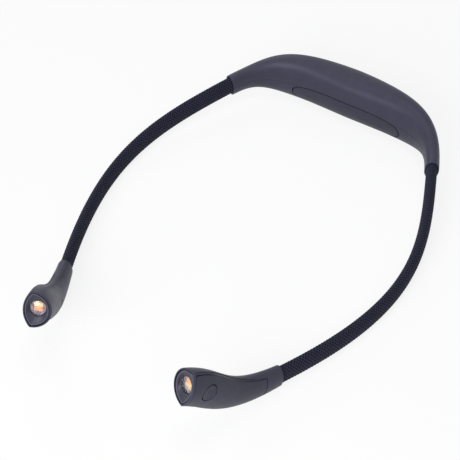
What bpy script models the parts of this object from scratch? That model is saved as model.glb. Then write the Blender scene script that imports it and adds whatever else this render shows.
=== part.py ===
"""Neck reading light.

A hollow crescent housing rests on the back of the neck. A bendable arm in a knitted
sleeve leaves each end of it and carries a lamp head at the front. The housing is two
shells that meet at mid height, with a pad set into its neck side. Each head is a shell
whose section grows from the arm's oval into a leaf with a sharp top and bottom edge. A
side cover with a push button closes its outer side, and a bezel with a lens its front.

World frame: X to the wearer's side, the heads at -Y, +Z up. The origin is the middle of
the whole light's length and width, on the surface that the housing and arms rest on.
Everything of the right side (+X) is worked out first, and the left side is its mirror.
"""
import math

import bmesh
import bpy
import numpy as np
from mathutils import Matrix, Vector

# General fits
FIT_GAP = 0.0003            # between pieces that touch or seat
OVERRUN = 0.0030            # how far a cutter runs past the face it cuts

# Plan of the arms, from the housing's collars
ARM_RUN = 0.1569            # from a collar to the head, along Y
ARM_ROOT_HALF_SPREAD = 0.0615
ARM_TIP_HALF_SPREAD = 0.0598
ARM_ROOT_FLARE = math.radians(22.9)
ARM_TIP_TURN_IN = math.radians(23.2)
ARM_ROOT_HANDLE = 0.0531    # length of the curve's control handle at the housing
ARM_TIP_HANDLE = 0.0861     # and at the head

# Heights of the arms
ARM_ROOT_DROP = 0.0006      # the collar lies this far under the housing's middle height
ARM_ROOT_DIP = math.radians(5.0)
ARM_TIP_HEIGHT = 0.0088
ARM_LOW_POINT_SHARE = 0.65  # where along its curve the arm touches the surface

# Knitted sleeve and gooseneck
SLEEVE_HEIGHT = 0.0110
SLEEVE_THICKNESS = 0.0058
SLEEVE_ENTRY = 0.0060       # how far the sleeve goes into a collar
SLEEVE_BORE = 0.0046
GOOSENECK_DIAMETER = 0.0040
GOOSENECK_ENTRY = 0.0145    # how far the gooseneck goes into the housing or a head
FERRULE_LENGTH = 0.0076
FERRULE_WALL = 0.0004
LEAD_DIAMETER = 0.0014
LEAD_STRAIGHT = 0.0028      # a lead's straight run at its ends
FRONT_LEAD_SHARES = (0.45, 0.67, 0.79, 0.82)    # where it passes along the head
FRONT_LEAD_LOW_SHARES = (0.6, 1.0, 1.1, 1.1)    # how low it hangs under the switch board

# The four bending points: three as shares of the arm's length, one by its distance
SPREAD_JOINT_SHARE = 0.122
LIFT_JOINT_SHARE = 0.440
TURN_JOINT_SHARE = 0.734
TILT_JOINT_BEFORE_HEAD = 0.0150
GOOSENECK_JOINT_GAP = 0.0016

# Housing
HOUSING_BOW = 0.0296        # how far its centreline at the back lies behind its collars
HOUSING_DEPTH = 0.0221
HOUSING_HEIGHT = 0.0274
HOUSING_BACK_HANDLE = 0.0400
HOUSING_END_HANDLE = 0.0255
HOUSING_OUTWARD_SHIFT = 0.0008
HOUSING_WALL = 0.0022
HOUSING_FOOT_CUT = 0.0004   # depth of the flat that it rests on
COLLAR_HEIGHT = 0.0128
COLLAR_DEPTH = 0.0076
COLLAR_RIM = 0.0006         # rounded edge of a collar
SECTION_POWER = 2.32        # of the superellipse that is the housing's section
DEPTH_TAPER_SHARES = (1.45, 2.16)
HEIGHT_TAPER_SHARES = (3.62, 3.77)
VALLEY_DEPTH_SHARE = 0.05   # shallow hollow above the pad
VALLEY_HEIGHT_SHARE = 0.46
VALLEY_SPREAD_SHARE = 0.22
CAVITY_END_SHARE = 0.79
HOUSING_SHARES = (0.1, 0.2, 0.3, 0.4, 0.5, 0.58, 0.66, 0.74, 0.82, 0.9, 0.96)
ROUTE_START_SHARE = 0.71    # where the gooseneck's route begins in the housing

# Neck pad
PAD_LENGTH = 0.0650
PAD_HEIGHT = 0.0124
PAD_DROP = 0.0050
PAD_THICKNESS = 0.0012
PAD_PROUD = 0.0002
PAD_POWER = 3.0
PAD_GROOVE = 0.0004

# Inside the housing
CELL_LENGTH = 0.0400
CELL_HEIGHT = 0.0170
CELL_THICKNESS = 0.0080
CELL_CORNER = 0.0012
CELL_FORWARD = 0.0014       # from the housing's centreline towards the neck
BOARD_LENGTH = 0.0360
BOARD_HEIGHT = 0.0150
BOARD_THICKNESS = 0.0010
BOARD_BACKWARD = 0.0031     # front face of the board, from the housing's centreline
RIB_THICKNESS = 0.0020
RIB_HALF_SPREAD = 0.0140

# USB-C port
PORT_DROP = 0.0037
PORT_WIDTH = 0.0089
PORT_HEIGHT = 0.0032
PORT_SHELL = 0.0003
PORT_RECESS = 0.0004
PORT_TONGUE_WIDTH = 0.0066
PORT_TONGUE_HEIGHT = 0.0007
PORT_TONGUE_SETBACK = 0.0010
PORT_FLAT_WIDTH = 0.0140
PORT_FLAT_HEIGHT = 0.0064
PORT_FLAT_CUT = 0.0011
INDICATOR_DIAMETER = 0.0020
INDICATOR_DROP = 0.0040     # under the middle of the port

# Housing screws
SCREW_HALF_SPREAD = 0.0300
SCREW_BOSS_DIAMETER = 0.0052
SCREW_HEAD_DIAMETER = 0.0040
SCREW_HEAD_HEIGHT = 0.0016
SCREW_SHANK_DIAMETER = 0.0020
SCREW_BITE = 0.0036         # how far the screw goes into the upper shell's boss
SCREW_TIP_GAP = 0.0006
SCREW_SINK = 0.0010
SCREW_SOCKET_DEPTH = 0.0007
SCREW_SOCKET_DIAMETER = 0.0018

# Head
HEAD_REACH = 0.0523         # from the collar to the face, in plan
HEAD_RISE = 0.0304
HEAD_BEARING = math.radians(24.1)
HEAD_START_HANDLE = 0.0337
HEAD_END_HANDLE = 0.0181
FACE_BEARING = math.radians(26.0)
FACE_ELEVATION = math.radians(28.7)
FACE_HEIGHT = 0.0184
FACE_OUTER_BULGE = 0.0035
FACE_INNER_BULGE = 0.0097
FACE_RAKE_SHARE = 0.15      # the face's top leans forward by this share of its height
HEAD_TWIST = math.radians(3.6)
HEAD_GROWTH_SHARE = 0.56
HEAD_WALL = 0.0013
HEAD_CAVITY_START_SHARE = 0.19
HEAD_SHARES = (0.06, 0.13, 0.2, 0.28, 0.36, 0.45, 0.54, 0.63, 0.72, 0.8, 0.88, 0.95, 1)

# Side cover and button
COVER_START_SHARE = 0.11
COVER_END_SHARE = 0.972
COVER_EDGE_SHARE = 0.90     # of the angle to the leaf's corner
COVER_ARCH = math.radians(10.0)     # how much further its edges reach at its middle
BUTTON_AT_SHARE = 0.79
BUTTON_RAISE = 0.0012
BUTTON_DIAMETER = 0.0078
BUTTON_PROUD = 0.00015
BUTTON_FLANGE_DIAMETER = 0.0090
BUTTON_FLANGE_THICKNESS = 0.0007
BUTTON_FLANGE_DEPTH = 0.0029
BUTTON_STEM_DIAMETER = 0.0024
BUTTON_STEM_LENGTH = 0.0004
BUTTON_TRAVEL = 0.0005
SWITCH_WIDTH = 0.0042
SWITCH_HEIGHT = 0.0014
SWITCH_PLUNGER_DIAMETER = 0.0020
SWITCH_PLUNGER_HEIGHT = 0.0006
SWITCH_BOARD_WIDTH = 0.0064
SWITCH_BOARD_THICKNESS = 0.0008
SWITCH_POST_DIAMETER = 0.0030
SLOT_AT_SHARE = 0.53
SLOT_HEIGHT = 0.0034
SLOT_WIDTH = 0.0008
SLOT_DEPTH = 0.0007

# Lamp
BEZEL_RECESS = 0.0005
BEZEL_THICKNESS = 0.0018
BEZEL_MOUTH_DIAMETER = 0.0086
BARREL_DIAMETER = 0.0094
BARREL_DEPTH = 0.0043       # from the front of the bezel
BARREL_BORE = 0.0080
LENS_DIAMETER = 0.0074
LENS_THICKNESS = 0.0014
LENS_CROWN = 0.0003
LENS_SINK = 0.0012
LENS_LIP = 0.0005
LENS_LIP_BORE = 0.0064
LED_BOARD_DIAMETER = 0.0088
LED_BOARD_THICKNESS = 0.0010
LED_WIDTH = 0.0046
LED_HEIGHT = 0.0021
LED_THICKNESS = 0.0007

# Counts
SIDES_HOUSING = 26
SIDES_CAVITY = 14
SIDES_SLEEVE = 12
SIDES_ROUND = 20
SIDES_SMALL = 12
SIDES_CORE = 8
SIDES_CORNER_ARC = 8        # of the leaf's outer arc, and twice as many inside
SIDES_CAVITY_ARC = 6
ROWS_CAVITY = 17            # rings along the housing's inner forms
ROWS_PAD = 21
ROWS_HEAD_CAVITY = 9
ROWS_COVER = 13
COLUMNS_COVER = 8
STEP_ALONG_ARM = 0.0100
LEAD_POINTS = 12
FINE_STEPS = 400

UP = np.array([0.0, 0.0, 1.0])
MIRROR = np.array([-1.0, 1.0, 1.0])
SIDES = (("right", 1), ("left", -1))


# Curves and frames

def unit(v):
    """A vector, or each row of an array, at length one."""
    v = np.asarray(v, float)
    return v / np.linalg.norm(v, axis=-1, keepdims=True)


def bezier(points, u):
    """A cubic Bezier curve at the parameters u, one row each."""
    p0, p1, p2, p3 = (np.asarray(p, float) for p in points)
    u = np.atleast_1d(u)[:, None]
    v = 1 - u
    return v ** 3 * p0 + 3 * v * v * u * p1 + 3 * v * u * u * p2 + u ** 3 * p3


def bezier_slope(points, u):
    """The unit tangents of a cubic Bezier curve at the parameters u."""
    p0, p1, p2, p3 = (np.asarray(p, float) for p in points)
    u = np.atleast_1d(u)[:, None]
    v = 1 - u
    return unit(v * v * (p1 - p0) + 2 * v * u * (p2 - p1) + u * u * (p3 - p2))


def heading(bearing, climb):
    """A unit direction that runs forward (-Y), turned towards -X by bearing, and climbs."""
    flat = math.cos(climb)
    return np.array([-flat * math.sin(bearing), -flat * math.cos(bearing), math.sin(climb)])


def side_and_up(tangents):
    """For each tangent, the level direction away from the neck and the one square to both."""
    away = unit(np.cross(UP, tangents))
    up = np.cross(tangents, away)
    return away, up


HOUSING_MID = HOUSING_HEIGHT / 2 - HOUSING_FOOT_CUT
ARM_ROOT = np.array([ARM_ROOT_HALF_SPREAD, 0.0, HOUSING_MID - ARM_ROOT_DROP])
ARM_TIP = np.array([ARM_TIP_HALF_SPREAD, -ARM_RUN, ARM_TIP_HEIGHT])
ROOT_DIRECTION = heading(-ARM_ROOT_FLARE, -ARM_ROOT_DIP)


def arm_tip_control():
    """The arm's third control point, at the height that lets its low point touch the surface."""
    u = ARM_LOW_POINT_SHARE
    v = 1 - u
    flat = ARM_TIP - heading(ARM_TIP_TURN_IN, 0) * ARM_TIP_HANDLE
    root_control = ARM_ROOT + ROOT_DIRECTION * ARM_ROOT_HANDLE
    others = v ** 3 * ARM_ROOT[2] + 3 * v * v * u * root_control[2] + u ** 3 * ARM_TIP[2]
    flat[2] = (SLEEVE_HEIGHT / 2 - others) / (3 * v * u * u)
    return flat


ARM_CURVE = (ARM_ROOT, ARM_ROOT + ROOT_DIRECTION * ARM_ROOT_HANDLE, arm_tip_control(), ARM_TIP)
TIP_DIRECTION = unit(ARM_TIP - ARM_CURVE[2])

HOUSING_CURVE = (
    np.array([0.0, HOUSING_BOW, HOUSING_MID]),
    np.array([HOUSING_BACK_HANDLE, HOUSING_BOW, HOUSING_MID]),
    ARM_ROOT - ROOT_DIRECTION * HOUSING_END_HANDLE,
    ARM_ROOT,
)

FACE_DIRECTION = heading(FACE_BEARING, FACE_ELEVATION)
FACE_CENTRE = ARM_TIP + heading(HEAD_BEARING, 0) * HEAD_REACH + UP * HEAD_RISE
HEAD_CURVE = (
    ARM_TIP,
    ARM_TIP + TIP_DIRECTION * HEAD_START_HANDLE,
    FACE_CENTRE - FACE_DIRECTION * HEAD_END_HANDLE,
    FACE_CENTRE,
)


# Sections

def superellipse(half_width, half_height, power, angles):
    """Points (x, y) of a superellipse at the given parameter angles."""
    c, s = np.cos(angles), np.sin(angles)
    x = half_width * np.sign(c) * np.abs(c) ** (2 / power)
    y = half_height * np.sign(s) * np.abs(s) ** (2 / power)
    return x, y


def taper(share, powers):
    """1 at the housing's middle, 0 at its ends, with the fall that the powers give."""
    return np.clip(1 - share ** powers[0], 0, 1) ** powers[1]


def housing_rings(shares, sides, inset=0.0, rim_inset=0.0):
    """Rings of the housing's outer skin, or of the skin inset by a wall, from end to end.

    A share runs from -1 at the left collar over 0 at the back to 1 at the right one. The
    last ring at each collar is drawn in by rim_inset, which rounds the collar's edge.
    """
    shares = np.asarray(shares, float)
    size = np.abs(shares)
    centre = bezier(HOUSING_CURVE, size)
    along = bezier_slope(HOUSING_CURVE, size)
    away, up = side_and_up(along)
    depth_fall = taper(size, DEPTH_TAPER_SHARES)
    height_fall = taper(size, HEIGHT_TAPER_SHARES)
    half_depth = COLLAR_DEPTH / 2 + (HOUSING_DEPTH - COLLAR_DEPTH) / 2 * depth_fall - inset
    half_height = COLLAR_HEIGHT / 2 + (HOUSING_HEIGHT - COLLAR_HEIGHT) / 2 * height_fall - inset
    at_rim = (size > 1 - 1e-9) * rim_inset
    half_depth = half_depth - at_rim
    half_height = half_height - at_rim
    angles = np.linspace(0, 2 * math.pi, sides, endpoint=False)
    x, z = superellipse(half_depth[:, None], half_height[:, None], SECTION_POWER, angles)
    if inset == 0:
        level = z / half_height[:, None]
        hollow = np.exp(-((level - VALLEY_HEIGHT_SHARE) / VALLEY_SPREAD_SHARE) ** 2)
        x = np.where(x < 0, x * (1 - VALLEY_DEPTH_SHARE * depth_fall[:, None] * hollow), x)
    x = x + (HOUSING_OUTWARD_SHIFT * depth_fall)[:, None]
    rings = centre[:, None] + away[:, None] * x[..., None] + up[:, None] * z[..., None]
    rings[shares < 0] *= MIRROR
    return rings


LEAF_CORNER_X = (FACE_INNER_BULGE - FACE_OUTER_BULGE) / 2
LEAF_OUTER_RADIUS = (FACE_HEIGHT ** 2 / 4 + FACE_OUTER_BULGE ** 2) / (2 * FACE_OUTER_BULGE)
LEAF_INNER_RADIUS = (FACE_HEIGHT ** 2 / 4 + FACE_INNER_BULGE ** 2) / (2 * FACE_INNER_BULGE)
LEAF_OUTER_CENTRE = LEAF_CORNER_X + FACE_OUTER_BULGE - LEAF_OUTER_RADIUS
LEAF_INNER_CENTRE = LEAF_CORNER_X - FACE_INNER_BULGE + LEAF_INNER_RADIUS


def leaf_corner(inset):
    """X and half height of the leaf's corners with both arcs drawn in by inset."""
    outer_radius, inner_radius = LEAF_OUTER_RADIUS - inset, LEAF_INNER_RADIUS - inset
    apart = LEAF_INNER_CENTRE - LEAF_OUTER_CENTRE
    ahead = (apart ** 2 + outer_radius ** 2 - inner_radius ** 2) / (2 * apart)
    return LEAF_OUTER_CENTRE + ahead, math.sqrt(outer_radius ** 2 - ahead ** 2)


def leaf_corner_angle(inset=0.0):
    x, y = leaf_corner(inset)
    return math.atan2(y, x)


def ray_to_circle(angles, centre_x, radius):
    """How far from the origin a ray at each angle meets a circle centred on the X axis."""
    along = centre_x * np.cos(angles)
    return along + np.sqrt(along ** 2 + radius ** 2 - centre_x ** 2)


def leaf_radius(angles, inset):
    """Radius of the leaf section at each angle: the nearer of its two arcs, each drawn in."""
    outer = ray_to_circle(angles, LEAF_OUTER_CENTRE, LEAF_OUTER_RADIUS - inset)
    inner = ray_to_circle(angles, LEAF_INNER_CENTRE, LEAF_INNER_RADIUS - inset)
    return np.minimum(outer, inner)


def oval_radius(angles, inset):
    """Radius of the collar's ellipse at each angle."""
    half_depth = COLLAR_DEPTH / 2 - inset
    half_height = COLLAR_HEIGHT / 2 - inset
    return 1 / np.hypot(np.cos(angles) / half_depth, np.sin(angles) / half_height)


def leaf_angles(per_outer_arc, inset=0.0):
    """Angles round the section that hit both corners of the leaf at this inset."""
    corner = leaf_corner_angle(inset)
    outer = np.linspace(-corner, corner, per_outer_arc, endpoint=False)
    inner = np.linspace(corner, 2 * math.pi - corner, per_outer_arc * 2, endpoint=False)
    return np.concatenate([outer, inner])


def head_surface(shares, angles, inset=0.0, rim_inset=0.0):
    """Points of the head's skin: a ring for each share of its curve, a point for each angle.

    The radius passes from the collar's oval to the leaf, and the ring leans with the face
    as it nears the front. Shares over 1 carry on straight ahead of the face.
    """
    shares = np.atleast_1d(np.asarray(shares, float))
    held = np.clip(shares, 0, 1)
    centre = bezier(HEAD_CURVE, held)
    along = bezier_slope(HEAD_CURVE, held)
    centre = centre + along * ((shares - held) * HEAD_END_HANDLE * 3)[:, None]
    away, up = side_and_up(along)
    twist = (HEAD_TWIST * held)[:, None]
    away, up = away * np.cos(twist) + up * np.sin(twist), up * np.cos(twist) - away * np.sin(twist)
    growth = held ** HEAD_GROWTH_SHARE
    growth = (growth * growth * (3 - 2 * growth))[:, None]
    radius = oval_radius(angles, inset) * (1 - growth) + leaf_radius(angles, inset) * growth
    radius = radius - rim_inset * (shares < 1e-9)[:, None]
    x, z = radius * np.cos(angles), radius * np.sin(angles)
    lean = z * FACE_RAKE_SHARE * growth ** 2
    return (centre[:, None] + away[:, None] * x[..., None] + up[:, None] * z[..., None]
            + along[:, None] * lean[..., None])


def head_frame(share):
    """Centre and the directions away, up and ahead of the head's section at a share."""
    centre = bezier(HEAD_CURVE, share)[0]
    ahead = bezier_slope(HEAD_CURVE, share)[0]
    away, up = side_and_up(ahead[None])
    twist = HEAD_TWIST * share
    away, up = away[0], up[0]
    return (centre, away * math.cos(twist) + up * math.sin(twist),
            up * math.cos(twist) - away * math.sin(twist), ahead)


# The whole light is set with the middle of its length over the origin

def middle_of_length():
    back = housing_rings((0.0,), SIDES_HOUSING)[..., 1].max()
    front = head_surface((1.0,), leaf_angles(SIDES_CORNER_ARC))[..., 1].min()
    return (back + front) / 2


MIDDLE = np.array([0.0, middle_of_length(), 0.0])


def arm_path():
    """The gooseneck's whole route and its length at each point, 0 at the housing's collar.

    It runs from the housing's cavity along the housing's end, the arm and the head's start.
    """
    inside = bezier(HOUSING_CURVE, np.linspace(ROUTE_START_SHARE, 1, FINE_STEPS)[:-1])
    arm = bezier(ARM_CURVE, np.linspace(0, 1, FINE_STEPS))
    ahead = bezier(HEAD_CURVE, np.linspace(0, 1, FINE_STEPS)[1:])
    points = np.concatenate([inside, arm, ahead])
    lengths = np.concatenate([[0.0], np.cumsum(np.linalg.norm(np.diff(points, axis=0), axis=1))])
    start = lengths[len(inside)]
    end = lengths[len(inside) + len(arm) - 1]
    return points, lengths - start, end - start


PATH_POINTS, PATH_LENGTHS, ARM_LENGTH = arm_path()
SPREAD_JOINT_AT = ARM_LENGTH * SPREAD_JOINT_SHARE
LIFT_JOINT_AT = ARM_LENGTH * LIFT_JOINT_SHARE
TURN_JOINT_AT = ARM_LENGTH * TURN_JOINT_SHARE
TILT_JOINT_AT = ARM_LENGTH - TILT_JOINT_BEFORE_HEAD


def path_at(distances):
    """Points, tangents, level side directions and upward ones on the gooseneck's route."""
    distances = np.atleast_1d(distances)

    def read(where):
        return np.stack([np.interp(where, PATH_LENGTHS, PATH_POINTS[:, k]) for k in range(3)], 1)

    near = (PATH_LENGTHS[-1] - PATH_LENGTHS[0]) / FINE_STEPS
    tangents = unit(read(distances + near) - read(distances - near))
    away, up = side_and_up(tangents)
    return read(distances), tangents, away, up


def tube_rings(distances, half_width, half_height, sides):
    """Rings of an oval tube that follows the gooseneck's route."""
    points, _, away, up = path_at(distances)
    angles = np.linspace(0, 2 * math.pi, sides, endpoint=False)
    x, z = half_width * np.cos(angles), half_height * np.sin(angles)
    return points[:, None] + away[:, None] * x[:, None] + up[:, None] * z[:, None]


def stations(start, end, step=STEP_ALONG_ARM):
    """Distances from start to end, evenly spaced and no further apart than step."""
    return np.linspace(start, end, max(2, math.ceil((end - start) / step) + 1))


# Blender helpers

for old in list(bpy.data.objects):
    bpy.data.objects.remove(old, do_unlink=True)

parts = bpy.data.collections.new("neck_reading_light")
cutters = bpy.data.collections.new("cutters")
bpy.context.scene.collection.children.link(parts)
bpy.context.scene.collection.children.link(cutters)


def make_material(name, colour, roughness, metallic=0.0):
    material = bpy.data.materials.new(name)
    material.use_nodes = True
    shader = material.node_tree.nodes["Principled BSDF"]
    shader.inputs["Base Color"].default_value = (*colour, 1.0)
    shader.inputs["Roughness"].default_value = roughness
    shader.inputs["Metallic"].default_value = metallic
    return material


def add_part(name, mesh, colour, roughness, metallic=0.0, smooth=True):
    """An object in the light's collection with a material of its own."""
    obj = bpy.data.objects.new(name, mesh)
    parts.objects.link(obj)
    mesh.materials.clear()
    mesh.materials.append(make_material(name + "_finish", colour, roughness, metallic))
    if smooth:
        mesh.shade_smooth()
        mesh.set_sharp_from_angle(angle=math.radians(40))
    return obj


def add_cutter(name, mesh):
    """A hidden object that Boolean modifiers read."""
    obj = bpy.data.objects.new(name, mesh)
    cutters.objects.link(obj)
    obj.hide_render = True
    obj.display_type = "WIRE"
    return obj


def boolean(obj, other, operation):
    modifier = obj.modifiers.new(operation.lower() + "_" + other.name, "BOOLEAN")
    modifier.operation = operation
    modifier.solver = "EXACT"
    modifier.object = other


def cut(obj, *others):
    for other in others:
        boolean(obj, other, "DIFFERENCE")


def finish_mesh(name, bm):
    """A mesh from a bmesh whose faces are turned outwards."""
    bmesh.ops.recalc_face_normals(bm, faces=bm.faces)
    mesh = bpy.data.meshes.new(name)
    bm.to_mesh(mesh)
    bm.free()
    return mesh


def add_grid(bm, rings, closed):
    """Vertices and the quads between neighbouring rings."""
    rows = [[bm.verts.new(Vector(p)) for p in ring] for ring in rings]
    count = len(rows[0])
    for low, high in zip(rows, rows[1:]):
        for i in range(count if closed else count - 1):
            k = (i + 1) % count
            bm.faces.new((low[i], low[k], high[k], high[i]))
    return rows


def loft(name, rings, side=1, bore=None):
    """A solid between rings of like count, capped at both ends.

    With a bore, which has as many rings and points, it is a tube with flat ring ends.
    """
    place = np.array([side, 1, 1])
    bm = bmesh.new()
    outer = add_grid(bm, (rings - MIDDLE) * place, True)
    if bore is None:
        bm.faces.new(outer[0])
        bm.faces.new(outer[-1])
    else:
        inner = add_grid(bm, (bore - MIDDLE) * place, True)
        for ring, hole in ((outer[0], inner[0]), (outer[-1], inner[-1])):
            for i in range(len(ring)):
                k = (i + 1) % len(ring)
                bm.faces.new((ring[i], ring[k], hole[k], hole[i]))
    return finish_mesh(name, bm)


def skin_patch(name, shares, angles, outer_inset, inner_inset, side):
    """A curved plate cut from the head's skin: two layers of it and the edges between."""
    place = np.array([side, 1, 1])
    bm = bmesh.new()
    front = add_grid(bm, (head_surface(shares, angles, outer_inset) - MIDDLE) * place, False)
    back = add_grid(bm, (head_surface(shares, angles, inner_inset) - MIDDLE) * place, False)

    def border(rows):
        ends = [row[-1] for row in rows[1:-1]]
        starts = [row[0] for row in rows[1:-1]]
        return rows[0] + ends + rows[-1][::-1] + starts[::-1]

    rim, base = border(front), border(back)
    for i in range(len(rim)):
        k = (i + 1) % len(rim)
        bm.faces.new((rim[i], rim[k], base[k], base[i]))
    return finish_mesh(name, bm)


def place_matrix(centre, x_axis, y_axis, z_axis, side=1):
    """The matrix of a piece whose own axes lie along the given ones, mirrored for the left.

    The mirror flips the X of place and axes, and the piece's own X turns back, so that the
    matrix stays a turn without a flip.
    """
    place = np.array([side, 1, 1])
    centre = (np.asarray(centre) - MIDDLE) * place
    x_axis, y_axis, z_axis = np.asarray(x_axis) * place * side, y_axis * place, z_axis * place
    matrix = Matrix.Identity(4)
    for row in range(3):
        matrix[row][0] = x_axis[row]
        matrix[row][1] = y_axis[row]
        matrix[row][2] = z_axis[row]
        matrix[row][3] = centre[row]
    return matrix


def moved(mesh, matrix):
    mesh.transform(matrix)
    return mesh


def box(name, size, bevel=0.0, offset=(0.0, 0.0, 0.0)):
    """A box mesh about the origin or an offset, its edges rounded by bevel."""
    bm = bmesh.new()
    bmesh.ops.create_cube(bm, size=1.0, matrix=Matrix.Translation(offset) @ Matrix.Diagonal((*size, 1)))
    if bevel:
        bmesh.ops.bevel(bm, geom=bm.edges[:], offset=bevel, segments=2, profile=0.5, affect="EDGES")
    return finish_mesh(name, bm)


def rod(name, diameter, low, high, sides=SIDES_ROUND):
    """A cylinder mesh on the Z axis between two heights."""
    bm = bmesh.new()
    lift = Matrix.Translation((0, 0, (low + high) / 2))
    bmesh.ops.create_cone(bm, cap_ends=True, segments=sides, radius1=diameter / 2,
                          radius2=diameter / 2, depth=high - low, matrix=lift)
    return finish_mesh(name, bm)


def merged(name, *meshes):
    """One mesh that holds several separate bodies."""
    bm = bmesh.new()
    for mesh in meshes:
        bm.from_mesh(mesh)
    mesh = bpy.data.meshes.new(name)
    bm.to_mesh(mesh)
    bm.free()
    return mesh


def turned(name, profile, sides=SIDES_ROUND, closed=False):
    """A turned mesh: a Screw modifier spins the profile's (radius, height) points about Z.

    The profile runs down its outer side from top to bottom. A closed one makes a ring.
    """
    bm = bmesh.new()
    verts = [bm.verts.new((r, 0.0, z)) for r, z in profile]
    for a, b in zip(verts, verts[1:]):
        bm.edges.new((a, b))
    if closed:
        bm.edges.new((verts[-1], verts[0]))
    outline = bpy.data.meshes.new(name + "_profile")
    bm.to_mesh(outline)
    bm.free()
    obj = bpy.data.objects.new(name + "_profile", outline)
    cutters.objects.link(obj)
    screw = obj.modifiers.new("spin", "SCREW")
    screw.steps = screw.render_steps = sides
    screw.use_merge_vertices = True
    screw.merge_threshold = FIT_GAP / 100
    return evaluated(obj, name)


def flat_plate(name, outline, thickness):
    """A flat outline filled as a 2D curve and extruded to a thickness about its own plane."""
    curve = bpy.data.curves.new(name + "_outline", "CURVE")
    curve.dimensions = "2D"
    curve.fill_mode = "BOTH"
    curve.extrude = thickness / 2
    spline = curve.splines.new("POLY")
    spline.points.add(len(outline) - 1)
    for point, (x, y) in zip(spline.points, outline):
        point.co = (x, y, 0.0, 1.0)
    spline.use_cyclic_u = True
    obj = bpy.data.objects.new(name + "_outline", curve)
    cutters.objects.link(obj)
    return evaluated(obj, name)


def evaluated(obj, name):
    """The mesh that an object's modifiers or curve settings make, and the object removed."""
    bpy.context.view_layer.update()
    mesh = bpy.data.meshes.new_from_object(obj.evaluated_get(bpy.context.evaluated_depsgraph_get()))
    bpy.data.objects.remove(obj, do_unlink=True)
    bm = bmesh.new()
    bm.from_mesh(mesh)
    bmesh.ops.remove_doubles(bm, verts=bm.verts, dist=FIT_GAP / 100)
    mesh = finish_mesh(name, bm)
    return mesh


def wire(name, points, diameter, colour, side):
    """A round lead: a curve with a bevel through points, capped, made a mesh."""
    curve = bpy.data.curves.new(name, "CURVE")
    curve.dimensions = "3D"
    curve.bevel_depth = diameter / 2
    curve.bevel_resolution = 1
    curve.use_fill_caps = True
    spline = curve.splines.new("POLY")
    spline.points.add(len(points) - 1)
    for point, place in zip(spline.points, (points - MIDDLE) * np.array([side, 1, 1])):
        point.co = (*place, 1.0)
    obj = bpy.data.objects.new(name + "_route", curve)
    cutters.objects.link(obj)
    return add_part(name, evaluated(obj, name), colour, 0.5)


def smooth_route(knots, count):
    """Points on a smooth curve through a few knots, by cubic segments with even slopes."""
    knots = np.asarray(knots, float)
    slopes = np.gradient(knots, axis=0)
    where = np.linspace(0, len(knots) - 1, count)
    index = np.clip(where.astype(int), 0, len(knots) - 2)
    t = (where - index)[:, None]
    a, b = knots[index], knots[index + 1]
    return ((2 * t ** 3 - 3 * t ** 2 + 1) * a + (t ** 3 - 2 * t ** 2 + t) * slopes[index]
            + (3 * t ** 2 - 2 * t ** 3) * b + (t ** 3 - t ** 2) * slopes[index + 1])


# Colours, linear
CHARCOAL = (0.060, 0.062, 0.082)
CHARCOAL_DARK = (0.045, 0.047, 0.064)
KNIT = (0.020, 0.021, 0.036)
STEEL = (0.42, 0.42, 0.43)
BRASS = (0.55, 0.42, 0.20)
BOARD_GREEN = (0.02, 0.10, 0.05)
BLACK = (0.012, 0.012, 0.014)
CELL_SILVER = (0.45, 0.46, 0.48)
LENS_CLEAR = (0.75, 0.73, 0.78)
LED_YELLOW = (0.95, 0.80, 0.38)
LED_ORANGE = (0.96, 0.55, 0.24)
LEAD_RED = (0.35, 0.02, 0.02)


# Housing

def housing_shares():
    """Stations along the housing, closer together towards its collars and at their rims."""
    rim = 1 - COLLAR_RIM / (3 * HOUSING_END_HANDLE)
    half = np.array([*HOUSING_SHARES, rim, 1.0])
    return np.concatenate([-half[::-1], [0.0], half])


def half_space(name, low, high):
    """A block wider than the housing between two heights."""
    width = 2 * (ARM_ROOT_HALF_SPREAD + HOUSING_DEPTH)
    depth = 2 * (HOUSING_BOW + HOUSING_DEPTH)
    mesh = box(name, (width, depth, high - low))
    centre = Vector((0, HOUSING_BOW - MIDDLE[1], (low + high) / 2))
    return add_cutter(name, moved(mesh, Matrix.Translation(centre)))


def pad_outline(grow):
    angles = np.linspace(0, 2 * math.pi, SIDES_HOUSING * 2, endpoint=False)
    x, z = superellipse(PAD_LENGTH / 2 + grow, PAD_HEIGHT / 2 + grow, PAD_POWER, angles)
    return list(zip(x, z))


def pad_prism(name, grow):
    """The pad's outline carried from in front of the housing's neck side to its middle."""
    length = HOUSING_DEPTH
    mesh = flat_plate(name, pad_outline(grow), length)
    back = HOUSING_BOW - PAD_THICKNESS * 2
    centre = np.array([0.0, back - length / 2, HOUSING_MID - PAD_DROP])
    frame = place_matrix(centre, np.array([1.0, 0, 0]), UP, np.array([0, -1.0, 0]))
    return add_cutter(name, moved(mesh, frame))


def housing_section_y(share_of_height):
    """Y of the housing's outer face at the back, at a height given from its middle."""
    level = abs(share_of_height) / (HOUSING_HEIGHT / 2)
    half = HOUSING_DEPTH / 2 * (1 - level ** SECTION_POWER) ** (1 / SECTION_POWER)
    return HOUSING_BOW + HOUSING_OUTWARD_SHIFT + half


PORT_Z = HOUSING_MID - PORT_DROP
PORT_FACE_Y = housing_section_y(0.0) - PORT_FLAT_CUT
BOARD_FACE_Y = HOUSING_BOW + BOARD_BACKWARD + BOARD_THICKNESS
CELL_BOTTOM = HOUSING_MID - CELL_HEIGHT / 2
RIB_TOP = CELL_BOTTOM - FIT_GAP


def at_port(mesh, y, drop=0.0):
    """A mesh on the Z axis, laid so that its Z runs out of the back, level with the port."""
    centre = np.array([0.0, y, PORT_Z - drop])
    frame = place_matrix(centre, np.array([-1.0, 0, 0]), UP, np.array([0, 1.0, 0]))
    return moved(mesh, frame)


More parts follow.
